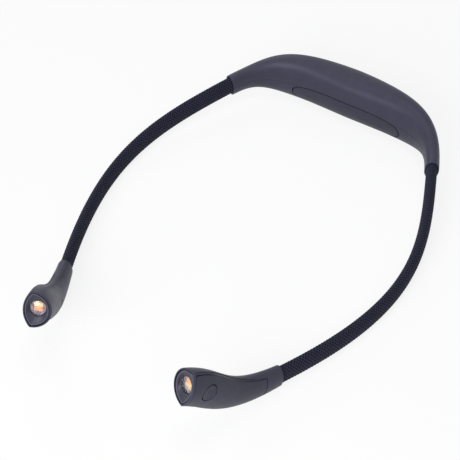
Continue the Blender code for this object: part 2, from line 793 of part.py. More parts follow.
def stadium(width, height, sides):
    """A level slot with round ends."""
    half = (width - height) / 2
    right = np.linspace(-math.pi / 2, math.pi / 2, sides // 2)
    points = [(half + height / 2 * math.cos(a), height / 2 * math.sin(a)) for a in right]
    return points + [(-x, -y) for x, y in points]


def screw_place(side):
    """Centre of a housing screw on the housing's centreline, at the screw's own X."""
    shares = np.linspace(0, 1, FINE_STEPS)
    curve = bezier(HOUSING_CURVE, shares)
    y = np.interp(SCREW_HALF_SPREAD, curve[:, 0], curve[:, 1])
    return np.array([side * SCREW_HALF_SPREAD, y, 0.0]) - MIDDLE


def build_housing():
    shares = housing_shares()
    outer = housing_rings(shares, SIDES_HOUSING, rim_inset=COLLAR_RIM / 2)
    inner_shares = np.linspace(-CAVITY_END_SHARE, CAVITY_END_SHARE, ROWS_CAVITY)
    cavity = add_cutter("housing_cavity", loft(
        "housing_cavity", housing_rings(inner_shares, SIDES_CAVITY, HOUSING_WALL)))
    middle_shares = np.linspace(-CAVITY_END_SHARE, CAVITY_END_SHARE, ROWS_CAVITY)
    within = add_cutter("housing_within", loft(
        "housing_within", housing_rings(middle_shares, SIDES_CAVITY, HOUSING_WALL / 2)))
    over = HOUSING_MID + HOUSING_HEIGHT
    under = -OVERRUN
    upper_half = half_space("upper_half", HOUSING_MID + FIT_GAP / 2, over)
    lower_half = half_space("lower_half", 0.0, HOUSING_MID - FIT_GAP / 2)

    recess = pad_prism("pad_recess", PAD_GROOVE)
    pad_shares = np.linspace(-CAVITY_END_SHARE, CAVITY_END_SHARE, ROWS_CAVITY)
    seat = add_cutter("pad_seat", loft("pad_seat", housing_rings(
        pad_shares, SIDES_CAVITY, PAD_THICKNESS + FIT_GAP)))
    cut(recess, seat)

    bosses, screw_holes = [], []
    low_head = SCREW_SINK
    shank_top = HOUSING_MID + SCREW_BITE
    for label, side in SIDES:
        spot = Matrix.Translation(Vector(screw_place(side)))
        bosses.append(moved(rod("boss", SCREW_BOSS_DIAMETER, under, over), spot))
        wide = SCREW_HEAD_DIAMETER / 2 + FIT_GAP
        slim = SCREW_SHANK_DIAMETER / 2 + FIT_GAP
        step = low_head + SCREW_HEAD_HEIGHT + FIT_GAP
        top = shank_top + SCREW_TIP_GAP
        screw_holes.append(moved(turned("screw_hole", [
            (0, top), (slim, top), (slim, step), (wide, step), (wide, under), (0, under)],
            SIDES_SMALL), spot))
        head, shank = SCREW_HEAD_DIAMETER / 2, SCREW_SHANK_DIAMETER / 2
        socket, deep = SCREW_SOCKET_DIAMETER / 2, low_head + SCREW_SOCKET_DEPTH
        screw = turned("screw", [
            (0, shank_top), (shank, shank_top), (shank, low_head + SCREW_HEAD_HEIGHT),
            (head, low_head + SCREW_HEAD_HEIGHT), (head, low_head), (socket, low_head),
            (socket, deep), (0, deep)], SIDES_SMALL)
        add_part(label + "_housing_screw", moved(screw, spot), STEEL, 0.35, 1.0)
    holes = add_cutter("screw_holes", merged("screw_holes", *screw_holes))

    rib_height = RIB_TOP - under
    ribs = []
    for _, side in SIDES:
        rib = box("rib", (RIB_THICKNESS, HOUSING_DEPTH * 2, rib_height))
        at = Vector((side * RIB_HALF_SPREAD, HOUSING_BOW - MIDDLE[1], under + rib_height / 2))
        ribs.append(moved(rib, Matrix.Translation(at)))
    lower_fittings = add_cutter("lower_fittings", merged("lower_fittings", *bosses, *ribs))
    boolean(lower_fittings, within, "INTERSECT")
    upper_fittings = add_cutter("upper_fittings", merged("upper_fittings", *bosses))
    boolean(upper_fittings, within, "INTERSECT")

    collar_cuts = []
    for _, side in SIDES:
        pocket = tube_rings(stations(-SLEEVE_ENTRY - FIT_GAP, OVERRUN), SLEEVE_THICKNESS / 2 + FIT_GAP,
                            SLEEVE_HEIGHT / 2 + FIT_GAP, SIDES_SLEEVE)
        collar_cuts.append(loft("sleeve_pocket", pocket, side))
        bore = GOOSENECK_DIAMETER / 2 + FERRULE_WALL + 2 * FIT_GAP + FIT_GAP
        reach = stations(-GOOSENECK_ENTRY - OVERRUN, -SLEEVE_ENTRY + FIT_GAP)
        collar_cuts.append(loft("ferrule_bore", tube_rings(reach, bore, bore, SIDES_SMALL), side))
    collar_cutters = [add_cutter("collar_cut_%d" % i, mesh) for i, mesh in enumerate(collar_cuts)]

    slot = at_port(flat_plate("port_slot", stadium(
        PORT_WIDTH + 2 * FIT_GAP, PORT_HEIGHT + 2 * FIT_GAP, SIDES_SMALL), HOUSING_DEPTH),
        HOUSING_BOW + HOUSING_DEPTH / 2)
    slot = add_cutter("port_slot", slot)
    flat = add_cutter("port_flat", at_port(box(
        "port_flat", (PORT_FLAT_WIDTH, PORT_FLAT_HEIGHT, OVERRUN)), PORT_FACE_Y + OVERRUN / 2))
    pipe_hole = add_cutter("pipe_hole", at_port(rod(
        "pipe_hole", INDICATOR_DIAMETER + 2 * FIT_GAP, 0.0, HOUSING_DEPTH, SIDES_SMALL),
        BOARD_FACE_Y, INDICATOR_DROP))

    upper = add_part("housing_upper_shell", loft("housing_upper_shell", outer), CHARCOAL, 0.5)
    lower = add_part("housing_lower_shell", loft("housing_lower_shell", outer), CHARCOAL, 0.5)
    for shell, fittings, half in ((upper, upper_fittings, upper_half), (lower, lower_fittings, lower_half)):
        boolean(shell, cavity, "DIFFERENCE")
        boolean(shell, fittings, "UNION")
        boolean(shell, half, "INTERSECT")
        cut(shell, recess, holes, *collar_cutters)
    cut(lower, slot, flat, pipe_hole)

    skin_shares = np.linspace(-CAVITY_END_SHARE, CAVITY_END_SHARE, ROWS_PAD)
    skin = housing_rings(skin_shares, SIDES_HOUSING, -PAD_PROUD)
    pad = add_part("neck_pad", loft("neck_pad", skin), CHARCOAL_DARK, 0.62)
    boolean(pad, pad_prism("pad_shape", 0.0), "INTERSECT")
    floor = add_cutter("pad_floor", loft("pad_floor", housing_rings(
        pad_shares, SIDES_CAVITY, PAD_THICKNESS)))
    cut(pad, floor)


def build_electronics():
    cell = box("battery_cell", (CELL_LENGTH, CELL_THICKNESS, CELL_HEIGHT), CELL_CORNER)
    at = Vector((0, HOUSING_BOW - CELL_FORWARD - MIDDLE[1], HOUSING_MID))
    add_part("battery_cell", moved(cell, Matrix.Translation(at)), CELL_SILVER, 0.4, 0.3)

    board = box("main_board", (BOARD_LENGTH, BOARD_THICKNESS, BOARD_HEIGHT))
    board_z = RIB_TOP + FIT_GAP + BOARD_HEIGHT / 2
    at = Vector((0, BOARD_FACE_Y - BOARD_THICKNESS / 2 - MIDDLE[1], board_z))
    add_part("main_board", moved(board, Matrix.Translation(at)), BOARD_GREEN, 0.5, smooth=False)

    socket_back = BOARD_FACE_Y + FIT_GAP
    length = PORT_FACE_Y - PORT_RECESS - socket_back
    mouth = length - PORT_SHELL
    shell = flat_plate("usb_c_port", stadium(PORT_WIDTH, PORT_HEIGHT, SIDES_SMALL), length)
    shell = add_part("usb_c_port", at_port(shell, socket_back + length / 2), STEEL, 0.3, 1.0)
    hollow = flat_plate("port_hollow", stadium(
        PORT_WIDTH - 2 * PORT_SHELL, PORT_HEIGHT - 2 * PORT_SHELL, SIDES_SMALL), mouth + OVERRUN)
    hollow_y = socket_back + PORT_SHELL + (mouth + OVERRUN) / 2
    hollow = add_cutter("port_hollow", at_port(hollow, hollow_y))
    tongue_length = mouth - PORT_TONGUE_SETBACK
    tongue = box("port_tongue", (PORT_TONGUE_WIDTH, PORT_TONGUE_HEIGHT, tongue_length + PORT_SHELL / 2))
    tongue_y = socket_back + PORT_SHELL + tongue_length / 2 - PORT_SHELL / 4
    tongue = add_cutter("port_tongue", at_port(tongue, tongue_y))
    cut(shell, hollow)
    boolean(shell, tongue, "UNION")

    pipe_start = BOARD_FACE_Y + FIT_GAP
    pipe_end = PORT_FACE_Y - PORT_RECESS
    pipe = rod("charge_indicator", INDICATOR_DIAMETER, 0.0, pipe_end - pipe_start, SIDES_SMALL)
    add_part("charge_indicator", at_port(pipe, pipe_start, INDICATOR_DROP), LENS_CLEAR, 0.25)


def rear_lead_route():
    """From the gooseneck's inner end, behind the screw boss, to the end of the main board."""
    around = SCREW_BOSS_DIAMETER / 2 + LEAD_DIAMETER / 2 + 2 * FIT_GAP
    start, tangent, _, _ = path_at(-GOOSENECK_ENTRY - FIT_GAP)
    near = start[0] - tangent[0] * LEAD_STRAIGHT
    boss = screw_place(1) + MIDDLE
    beside = np.array([boss[0], boss[1] + around, HOUSING_MID])
    board_end = np.array([BOARD_LENGTH / 2 + FIT_GAP, BOARD_FACE_Y - BOARD_THICKNESS / 2, HOUSING_MID])
    before = (beside + near) / 2
    before[1] += LEAD_DIAMETER
    lead_in = board_end + np.array([LEAD_STRAIGHT, 0, 0])
    return smooth_route([start[0], near, before, beside, lead_in, board_end], LEAD_POINTS)


# Arms

def build_arm(label, side):
    """Five sleeve sections and five gooseneck segments, one of each between bending points."""
    joints = (SPREAD_JOINT_AT, LIFT_JOINT_AT, TURN_JOINT_AT, TILT_JOINT_AT)
    sections = ("root", "rear", "front", "tip", "head")
    sleeve_edges = (-SLEEVE_ENTRY, *joints, ARM_LENGTH + SLEEVE_ENTRY)
    core_edges = (-GOOSENECK_ENTRY, *joints, ARM_LENGTH + GOOSENECK_ENTRY)
    half_gap, half_core_gap = FIT_GAP / 2, GOOSENECK_JOINT_GAP / 2
    last = len(sections) - 1
    for i, section in enumerate(sections):
        start = sleeve_edges[i] + (half_gap if i > 0 else 0)
        end = sleeve_edges[i + 1] - (half_gap if i < last else 0)
        where = stations(start, end)
        outer = tube_rings(where, SLEEVE_THICKNESS / 2, SLEEVE_HEIGHT / 2, SIDES_SLEEVE)
        inner = tube_rings(where, SLEEVE_BORE / 2, SLEEVE_BORE / 2, SIDES_SLEEVE)
        name = "%s_sleeve_%s" % (label, section)
        add_part(name, loft(name, outer, side, inner), KNIT, 0.9)
        start = core_edges[i] + (half_core_gap if i > 0 else 0)
        end = core_edges[i + 1] - (half_core_gap if i < last else 0)
        radius = GOOSENECK_DIAMETER / 2
        name = "%s_gooseneck_%s" % (label, section)
        core = loft(name, tube_rings(stations(start, end), radius, radius, SIDES_CORE), side)
        add_part(name, core, STEEL, 0.4, 1.0)

    inner_radius = GOOSENECK_DIAMETER / 2 + FIT_GAP
    outer_radius = inner_radius + FERRULE_WALL
    rear_start = -SLEEVE_ENTRY - 2 * FIT_GAP - FERRULE_LENGTH
    front_start = ARM_LENGTH + SLEEVE_ENTRY + 2 * FIT_GAP
    for place, start in (("rear", rear_start), ("front", front_start)):
        where = stations(start, start + FERRULE_LENGTH)
        name = "%s_%s_ferrule" % (label, place)
        tube = loft(name, tube_rings(where, outer_radius, outer_radius, SIDES_SMALL), side,
                    tube_rings(where, inner_radius, inner_radius, SIDES_SMALL))
        add_part(name, tube, BRASS, 0.35, 1.0)
    wire("%s_rear_lead" % label, rear_lead_route(), LEAD_DIAMETER, LEAD_RED, side)


# Heads

def face_frame():
    """Centre of the leaf face and its directions: away, up its plane, and out of it."""
    centre, away, up, ahead = head_frame(1.0)
    in_plane = unit(up + ahead * FACE_RAKE_SHARE)
    return centre, away, in_plane, unit(np.cross(away, in_plane))


def leaf_outline(inset, per_outer_arc):
    """The face's leaf drawn in by inset, from corner to corner round both arcs."""
    outer_r, inner_r = LEAF_OUTER_RADIUS - inset, LEAF_INNER_RADIUS - inset
    corner_x, corner_y = leaf_corner(inset)
    outer_end = math.atan2(corner_y, corner_x - LEAF_OUTER_CENTRE)
    inner_end = math.atan2(corner_y, corner_x - LEAF_INNER_CENTRE)
    outline = []
    for a in np.linspace(-outer_end, outer_end, per_outer_arc, endpoint=False):
        outline.append((LEAF_OUTER_CENTRE + outer_r * math.cos(a), outer_r * math.sin(a)))
    for a in np.linspace(inner_end, 2 * math.pi - inner_end, per_outer_arc * 2, endpoint=False):
        outline.append((LEAF_INNER_CENTRE + inner_r * math.cos(a), inner_r * math.sin(a)))
    return outline


def at_face(mesh, side, depth=0.0, follow_head=False):
    """A mesh whose Z points out of the face, set back from the face's rim by depth.

    With follow_head it is sheared, so that its sides run along the head and its flat faces
    stay level with the raked face. Its own X runs away from the neck on the right head and
    towards it on the left, so an uneven mesh is mirrored for the left beforehand.
    """
    centre, away, up, out = face_frame()
    if follow_head:
        ahead = head_frame(1.0)[3]
        out = ahead / np.dot(ahead, out)
    return moved(mesh, place_matrix(centre - out * depth, away, up, out, side))


def button_frame():
    """Point on the head's skin under the button's middle, and the directions ahead, up, away."""
    centre, away, up, ahead = head_frame(BUTTON_AT_SHARE)
    angle = math.atan2(BUTTON_RAISE, LEAF_CORNER_X + FACE_OUTER_BULGE)
    skin = head_surface([BUTTON_AT_SHARE], np.array([angle]))[0, 0]
    reach = float(np.dot(skin - centre, away))
    return centre + up * BUTTON_RAISE + away * reach, ahead, up, away


def at_button(mesh, side):
    """A mesh whose Z points out of the head's side, with its origin on the skin."""
    skin, ahead, up, away = button_frame()
    return moved(mesh, place_matrix(skin, -ahead, up, away, side))


def build_head(label, side):
    angles = leaf_angles(SIDES_CORNER_ARC)
    rim = COLLAR_RIM / (3 * HEAD_START_HANDLE)
    outer = head_surface((0, rim, *HEAD_SHARES), angles, rim_inset=COLLAR_RIM / 2)
    shell = add_part(label + "_head_shell", loft(label + "_head_shell", outer, side), CHARCOAL, 0.5)

    inner_angles = leaf_angles(SIDES_CAVITY_ARC, HEAD_WALL)
    ahead_of_face = 1 + OVERRUN / (3 * HEAD_END_HANDLE)
    inner_shares = np.append(np.linspace(HEAD_CAVITY_START_SHARE, 1, ROWS_HEAD_CAVITY), ahead_of_face)
    cavity = add_cutter(label + "_head_cavity", loft(
        label + "_head_cavity", head_surface(inner_shares, inner_angles, HEAD_WALL), side))
    cut(shell, cavity)

    board_top = BUTTON_FLANGE_DEPTH + BUTTON_FLANGE_THICKNESS + BUTTON_STEM_LENGTH + BUTTON_TRAVEL \
        + FIT_GAP + SWITCH_PLUNGER_HEIGHT + SWITCH_HEIGHT + FIT_GAP
    post_top = board_top + SWITCH_BOARD_THICKNESS + FIT_GAP
    far_wall = -FACE_OUTER_BULGE - FACE_INNER_BULGE
    post = rod("switch_post", SWITCH_POST_DIAMETER, far_wall, -post_top, SIDES_SMALL)
    post = add_cutter(label + "_switch_post", at_button(post, side))
    within = head_surface(inner_shares[:-1], inner_angles, HEAD_WALL / 2)
    within = add_cutter(label + "_head_within", loft(label + "_head_within", within, side))
    boolean(post, within, "INTERSECT")
    boolean(shell, post, "UNION")

    corner = leaf_corner_angle() * COVER_EDGE_SHARE
    gap_angle = FIT_GAP / (FACE_HEIGHT / 2)
    gap_share = FIT_GAP / (3 * HEAD_START_HANDLE)
    arch = COVER_ARCH * np.sin(np.linspace(0, math.pi, ROWS_COVER))[:, None]
    across = np.linspace(-1, 1, COLUMNS_COVER)
    cover_shares = np.linspace(COVER_START_SHARE, COVER_END_SHARE, ROWS_COVER)
    cover_angles = (corner + arch) * across
    window_shares = np.linspace(COVER_START_SHARE - gap_share, COVER_END_SHARE + gap_share, ROWS_COVER)
    window_angles = (corner + arch + gap_angle) * across
    window = add_cutter(label + "_cover_window", skin_patch(
        label + "_cover_window", window_shares, window_angles, -HEAD_WALL, HEAD_WALL + FIT_GAP, side))
    cut(shell, window)

    pocket = tube_rings(stations(ARM_LENGTH - OVERRUN, ARM_LENGTH + SLEEVE_ENTRY + FIT_GAP),
                        SLEEVE_THICKNESS / 2 + FIT_GAP, SLEEVE_HEIGHT / 2 + FIT_GAP, SIDES_SLEEVE)
    bore = GOOSENECK_DIAMETER / 2 + FERRULE_WALL + 2 * FIT_GAP + FIT_GAP
    reach = stations(ARM_LENGTH + SLEEVE_ENTRY - FIT_GAP, ARM_LENGTH + GOOSENECK_ENTRY + OVERRUN)
    cut(shell, add_cutter(label + "_head_pocket", loft(label + "_head_pocket", pocket, side)),
        add_cutter(label + "_head_bore", loft(
            label + "_head_bore", tube_rings(reach, bore, bore, SIDES_SMALL), side)))

    centre, away, up, ahead = head_frame(SLOT_AT_SHARE)
    inner_skin = head_surface([SLOT_AT_SHARE], np.array([math.pi]))[0, 0]
    slot = box(label + "_slot", (SLOT_WIDTH, SLOT_HEIGHT, SLOT_DEPTH * 2))
    slot = moved(slot, place_matrix(inner_skin, ahead, up, -away, side))
    cut(shell, add_cutter(label + "_slot", slot))

    cover = add_part(label + "_side_cover", skin_patch(
        label + "_side_cover", cover_shares, cover_angles, 0.0, HEAD_WALL, side), CHARCOAL, 0.55)
    hole = rod("button_hole", BUTTON_DIAMETER + 2 * FIT_GAP, -BUTTON_FLANGE_DEPTH, OVERRUN, SIDES_ROUND)
    hole = add_cutter(label + "_button_hole", at_button(hole, side))
    cut(cover, hole)

    cap, flange, stem = BUTTON_DIAMETER / 2, BUTTON_FLANGE_DIAMETER / 2, BUTTON_STEM_DIAMETER / 2
    flange_low = -BUTTON_FLANGE_DEPTH - BUTTON_FLANGE_THICKNESS
    button = turned(label + "_button", [
        (0, OVERRUN), (cap, OVERRUN), (cap, -BUTTON_FLANGE_DEPTH), (flange, -BUTTON_FLANGE_DEPTH),
        (flange, flange_low), (stem, flange_low), (stem, flange_low - BUTTON_STEM_LENGTH),
        (0, flange_low - BUTTON_STEM_LENGTH)])
    button = add_part(label + "_button", at_button(button, side), CHARCOAL_DARK, 0.5)
    skin = add_cutter(label + "_button_skin", loft(label + "_button_skin", head_surface(
        np.linspace(COVER_START_SHARE, 1, ROWS_COVER), angles, -BUTTON_PROUD), side))
    boolean(button, skin, "INTERSECT")

    plunger_top = flange_low - BUTTON_STEM_LENGTH - BUTTON_TRAVEL - FIT_GAP
    switch_low = plunger_top - SWITCH_PLUNGER_HEIGHT - SWITCH_HEIGHT
    switch_middle = switch_low + SWITCH_HEIGHT / 2
    switch = box("switch_body", (SWITCH_WIDTH, SWITCH_WIDTH, SWITCH_HEIGHT), 0.0, (0, 0, switch_middle))
    switch = add_part(label + "_tact_switch", at_button(switch, side), STEEL, 0.4, 0.8, smooth=False)
    plunger = rod("plunger", SWITCH_PLUNGER_DIAMETER, switch_middle, plunger_top, SIDES_SMALL)
    boolean(switch, add_cutter(label + "_plunger", at_button(plunger, side)), "UNION")
    board = box("switch_board", (SWITCH_BOARD_WIDTH, SWITCH_BOARD_WIDTH, SWITCH_BOARD_THICKNESS), 0.0,
                (0, 0, -board_top - SWITCH_BOARD_THICKNESS / 2))
    add_part(label + "_switch_board", at_button(board, side), BOARD_GREEN, 0.5, smooth=False)

    build_lamp(label, side)
    wire(label + "_front_lead", front_lead_route(), LEAD_DIAMETER, LEAD_RED, side)


def build_lamp(label, side):
    """Bezel with its barrel, the lens in it, and the board with two LEDs behind.

    The two boards are alike and one is turned half round, so the right lamp has the warm LED on top.
    """
    outline = [(x * side, y) for x, y in leaf_outline(HEAD_WALL + FIT_GAP, SIDES_CORNER_ARC)]
    plate = flat_plate(label + "_face_bezel", outline, BEZEL_THICKNESS)
    front = BEZEL_RECESS
    bezel = add_part(label + "_face_bezel",
                     at_face(plate, side, front + BEZEL_THICKNESS / 2, True), CHARCOAL_DARK, 0.4)
    barrel_back = -front - BARREL_DEPTH
    barrel = rod("barrel", BARREL_DIAMETER, barrel_back, -front - BEZEL_THICKNESS / 2)
    boolean(bezel, add_cutter(label + "_barrel", at_face(barrel, side)), "UNION")
    mouth, bore, lip = BEZEL_MOUTH_DIAMETER / 2, BARREL_BORE / 2, LENS_LIP_BORE / 2
    lens_front = -front - LENS_SINK
    lens_back = lens_front - LENS_THICKNESS
    lip_front, lip_back = lens_back - FIT_GAP, lens_back - FIT_GAP - LENS_LIP
    stepped = turned("lamp_bore", [
        (0, OVERRUN), (mouth, OVERRUN), (mouth, lens_front), (bore, lens_front), (bore, lip_front),
        (lip, lip_front), (lip, lip_back), (bore, lip_back), (bore, barrel_back - OVERRUN),
        (0, barrel_back - OVERRUN)])
    cut(bezel, add_cutter(label + "_lamp_bore", at_face(stepped, side)))

    radius = LENS_DIAMETER / 2
    crown = [(radius * s, lens_front - LENS_CROWN * s * s) for s in (0, 0.35, 0.65, 0.85, 1)]
    lens = turned(label + "_lens", crown + [(radius, lens_back), (0, lens_back)])
    add_part(label + "_lens", at_face(lens, side), LENS_CLEAR, 0.12)

    board_front = barrel_back - FIT_GAP
    board = rod("led_board", LED_BOARD_DIAMETER, board_front - LED_BOARD_THICKNESS, board_front)
    add_part(label + "_led_board", at_face(board, side), (0.75, 0.76, 0.74), 0.5)
    led_z = board_front + FIT_GAP + LED_THICKNESS / 2
    for name, y, colour in (("cool", -side, LED_YELLOW), ("warm", side, LED_ORANGE)):
        led = box("led", (LED_WIDTH, LED_HEIGHT, LED_THICKNESS), 0.0,
                  (0, y * (LED_HEIGHT + FIT_GAP) / 2, led_z))
        add_part("%s_led_%s" % (label, name), at_face(led, side), colour, 0.4, smooth=False)


def front_lead_route():
    """From the gooseneck's end, under the switch board, to the back of the LED board."""
    start, tangent, _, _ = path_at(ARM_LENGTH + GOOSENECK_ENTRY + FIT_GAP)
    near = start[0] + tangent[0] * LEAD_STRAIGHT
    low = SWITCH_BOARD_WIDTH / 2 - BUTTON_RAISE + LEAD_DIAMETER / 2 + 2 * FIT_GAP
    knots = [start[0], near]
    for share, lowered_share in zip(FRONT_LEAD_SHARES, FRONT_LEAD_LOW_SHARES):
        centre, _, up, _ = head_frame(share)
        knots.append(centre - up * low * lowered_share)
    centre, _, up, out = face_frame()
    back = BEZEL_RECESS + BARREL_DEPTH + 2 * FIT_GAP + LED_BOARD_THICKNESS + LEAD_DIAMETER / 4
    knots.append(centre - out * back - up * low * FRONT_LEAD_LOW_SHARES[-1])
    return smooth_route(knots, LEAD_POINTS)


build_housing()
build_electronics()
for part_label, part_side in SIDES:
    build_arm(part_label, part_side)
    build_head(part_label, part_side)
bpy.context.view_layer.update()
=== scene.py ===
"""Neck reading light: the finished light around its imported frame, and its studio.

Lengths are metres in the frame of the CAD part: X to the wearer's side, the heads at -Y,
+Z up, the floor at zero. Each piece is worked out for the right side (+X), and the left
one is its mirror. Skins are functions of two parameters, evaluated on whole arrays.
"""
import math

import bmesh
import bpy
import numpy as np
from bpy.props import FloatProperty, FloatVectorProperty, IntProperty, PointerProperty
from mathutils import Matrix, Vector


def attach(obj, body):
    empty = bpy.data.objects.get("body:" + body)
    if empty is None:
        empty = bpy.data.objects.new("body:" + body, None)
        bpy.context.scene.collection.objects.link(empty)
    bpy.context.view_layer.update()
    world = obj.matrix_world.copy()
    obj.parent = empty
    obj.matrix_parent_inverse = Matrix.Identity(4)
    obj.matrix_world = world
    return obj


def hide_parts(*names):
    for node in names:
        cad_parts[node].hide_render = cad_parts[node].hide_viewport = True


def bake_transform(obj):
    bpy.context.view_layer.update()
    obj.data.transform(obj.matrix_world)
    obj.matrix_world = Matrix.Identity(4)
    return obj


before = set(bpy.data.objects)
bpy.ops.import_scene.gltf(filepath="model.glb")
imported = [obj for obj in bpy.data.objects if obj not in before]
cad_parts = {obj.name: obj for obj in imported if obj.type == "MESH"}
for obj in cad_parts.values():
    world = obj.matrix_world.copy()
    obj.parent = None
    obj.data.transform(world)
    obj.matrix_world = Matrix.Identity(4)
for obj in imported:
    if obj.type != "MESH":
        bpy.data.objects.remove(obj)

bl_info = {
    "name": "Neck Reading Light",
    "version": (1, 0, 0),
    "blender": (4, 5, 0),
    "location": "View3D > Sidebar > Reading Light",
    "description": "Builds a neck reading light with bendable sleeved arms and its studio",
    "category": "Add Mesh",
}

MM = 0.001
BEYOND = 0.3                 # a length that is past the whole light from anywhere in it
SIDES = (("right", 1), ("left", -1))
UP = np.array([0.0, 0.0, 1.0])
QUARTER = np.array([0.0, 0.06, 0.18, 0.36, 0.62, 1.0])  # steps over a rounded edge
SHARP_EDGE = 38.0            # degrees between faces, past which an edge is kept sharp
SHARP_ON_ARM = 70.0          # the same on the braid and the wound core

# Routes as cubic Bezier control points, the same as in the part's source
HOUSING_CURVE = np.array([[0.0, 0.113396, 0.0133], [0.04, 0.113396, 0.0133],
                          [0.051615, 0.107197, 0.014922], [0.0615, 0.083796, 0.0127]])
ARM_CURVE = np.array([[0.0615, 0.083796, 0.0127], [0.082084, 0.035067, 0.008072],
                      [0.093718, 0.006033, 0.001376], [0.0598, -0.073104, 0.0088]])
HEAD_CURVE = np.array([[0.0598, -0.073104, 0.0088], [0.046573, -0.103964, 0.011695],
                       [0.045404, -0.106576, 0.030508], [0.038444, -0.120845, 0.0392]])

# Housing
HOUSING_MID = 13.3 * MM
HOUSING_DEPTH = 22.1 * MM
HOUSING_HEIGHT = 27.4 * MM
HOUSING_SHIFT = 0.8 * MM
HOUSING_WALL = 2.2 * MM
SECTION_POWER = 2.32
DEPTH_FALL = (1.45, 2.16)    # powers m and n of the depth's fall towards the collars
HEIGHT_FALL = (3.62, 3.77)   # and of the height's
HOLLOW_DEPTH = 0.05          # share of the depth, of the hollow above the pad
HOLLOW_LEVEL = 0.46
HOLLOW_SPREAD = 0.22
COLLAR_HEIGHT = 12.8 * MM
COLLAR_DEPTH = 7.6 * MM
COLLAR_ROUNDING = 0.3 * MM
SEAM_GAP = 0.12 * MM
SEAM_CHAMFER = 0.1 * MM
CAVITY_END = 0.79
FIT_GAP = 0.3 * MM

# Neck pad
PAD_LENGTH = 65.0 * MM
PAD_HEIGHT = 12.4 * MM
PAD_DROP = 5.0 * MM
PAD_THICKNESS = 1.2 * MM
PAD_PROUD = 0.2 * MM
PAD_POWER = 3.0
PAD_GROOVE = 0.55 * MM
PAD_EDGE = 0.5 * MM

# Port and fasteners
PORT_PLACE = np.array([0.0, 0.124146, 0.0096])
PORT_WIDTH = 8.9 * MM
PORT_HEIGHT = 3.2 * MM
PORT_FLAT = (14.0 * MM, 6.4 * MM)
INDICATOR_DROP = 4.0 * MM
INDICATOR_DIAMETER = 2.0 * MM
SCREW_X = 30.0 * MM
SCREW_SINK = 1.0 * MM
SCREW_HEAD_DIAMETER = 4.0 * MM
SCREW_HEAD_HEIGHT = 1.6 * MM
SCREW_TOP = 16.9 * MM
SCREW_SHANK_RADIUS = 1.0 * MM
SCREW_TIP_RADIUS = 0.8 * MM
SCREW_HOLE_RADIUS = 1.3 * MM
SOCKET_DEPTH = 0.8 * MM
BOSS_DIAMETER = 5.2 * MM
RIB_X = 14.0 * MM
RIB_TOP = 4.5 * MM
RIB_HALF = (1.0 * MM, 20.0 * MM)  # across and along

# Arms
ARM_LENGTH = 0.163807
SLEEVE_HEIGHT = 11.0 * MM
SLEEVE_THICKNESS = 5.8 * MM
SLEEVE_ENTRY = 6.0 * MM
CORE_ENTRY = 14.5 * MM
CORE_DIAMETER = 4.0 * MM
CORE_PITCH = 1.1 * MM        # of the gooseneck's turns
CORE_DIP = 0.3 * MM
CORE_STEP = 0.16 * MM        # between the mesh's rings
FERRULE_RADIUS = 3.3 * MM    # of the bore that the ferrule sits in
BRAID_CROWN = 0.9            # height of the braid that lies on the sleeve's own ellipse
BRAID_STEPS = 8              # of the mesh over a braid cell, both ways
# For each bending point: the bodies before and after it, where the piece over it starts
# and ends, and where its bend starts and ends, all from the housing's collar
BENDS = (
    ("housing", "arm_rear", ("root", "rear"), (None, 46.0), (4.0, 36.0)),
    ("arm_rear", "arm_front", ("rear", "front"), (46.0, 97.0), (54.0, 90.0)),
    ("arm_front", "arm_tip", ("front", "tip"), (97.0, 134.5), (107.0, 133.0)),
    ("arm_tip", "head", ("tip", "head"), (134.5, None), (136.8, 160.6)),
)

# Head
FACE_HEIGHT = 18.4 * MM
FACE_OUTER_BULGE = 3.5 * MM
FACE_INNER_BULGE = 9.7 * MM
FACE_RAKE = 0.15
HEAD_TWIST = math.radians(3.6)
HEAD_GROWTH = 0.56           # power of the share at which the leaf takes over from the collar
HEAD_WALL = 1.3 * MM
FACE_RIM = 0.6 * MM          # the wall is thinner round the face
HEAD_RADIUS = 8.3 * MM       # mean, which turns a length across the side cover into an angle
HEAD_CAVITY_START = 0.19
WALL_THINS = (0.915, 0.945)  # between these shares the wall goes from full to the rim's
CORNER_SOFTNESS = 160.0      # exponent that joins the leaf's two arcs, sharper when higher
COVER_START = 0.11
COVER_END = 0.972
COVER_EDGE = 0.90            # of the angle to the leaf's corner
COVER_ARCH = math.radians(10.0)
COVER_CORNER = 0.8 * MM
LEDGE_DEPTH = 0.3 * MM       # of the step in the shell along the cover's upper edge
LEDGE_WIDTH = (0.95 * MM, 0.4 * MM)  # at its ends, and what the middle has over that
LEDGE_START = (0.45, 0.2)    # share of the width at the collar, and where it is full
EDGE_ROUNDING = 0.3 * MM
BUTTON_SHARE = 0.79
BUTTON_RAISE = 1.2 * MM
BUTTON_DIAMETER = 7.8 * MM
BUTTON_DEPTH = 2.9 * MM
BUTTON_EDGE = 0.35 * MM
BUTTON_STEM = (1.2 * MM, 0.4 * MM)  # radius and length
MARK_DEPTH = 0.12 * MM
MARK_RADIUS = 1.25 * MM
MARK_LINE = 0.17 * MM
MARK_BAR = (1.15 * MM, 0.5 * MM)  # middle and half length
HOLE_ROUNDING = 0.35 * MM
BUTTON_FLANGE_DIAMETER = 9.0 * MM
BUTTON_FLANGE_THICKNESS = 0.7 * MM
SLOT_SHARE = 0.42
SLOT_HALF = np.array([0.85, 1.7, 1.1]) * MM  # ahead, up and into the wall

# Lamp, measured from the face's rim inwards
BEZEL_RECESS = 0.1 * MM
BEZEL_SKIRT = 1.8 * MM       # back of the plate at its border
GROOVE_DEPTH = 0.9 * MM      # of the shadow gap round the bezel's raised lip
GROOVE_WIDTH = (0.2 * MM, 0.75 * MM)  # on the outer and on the inner side
LIP_WIDTH = 0.5 * MM
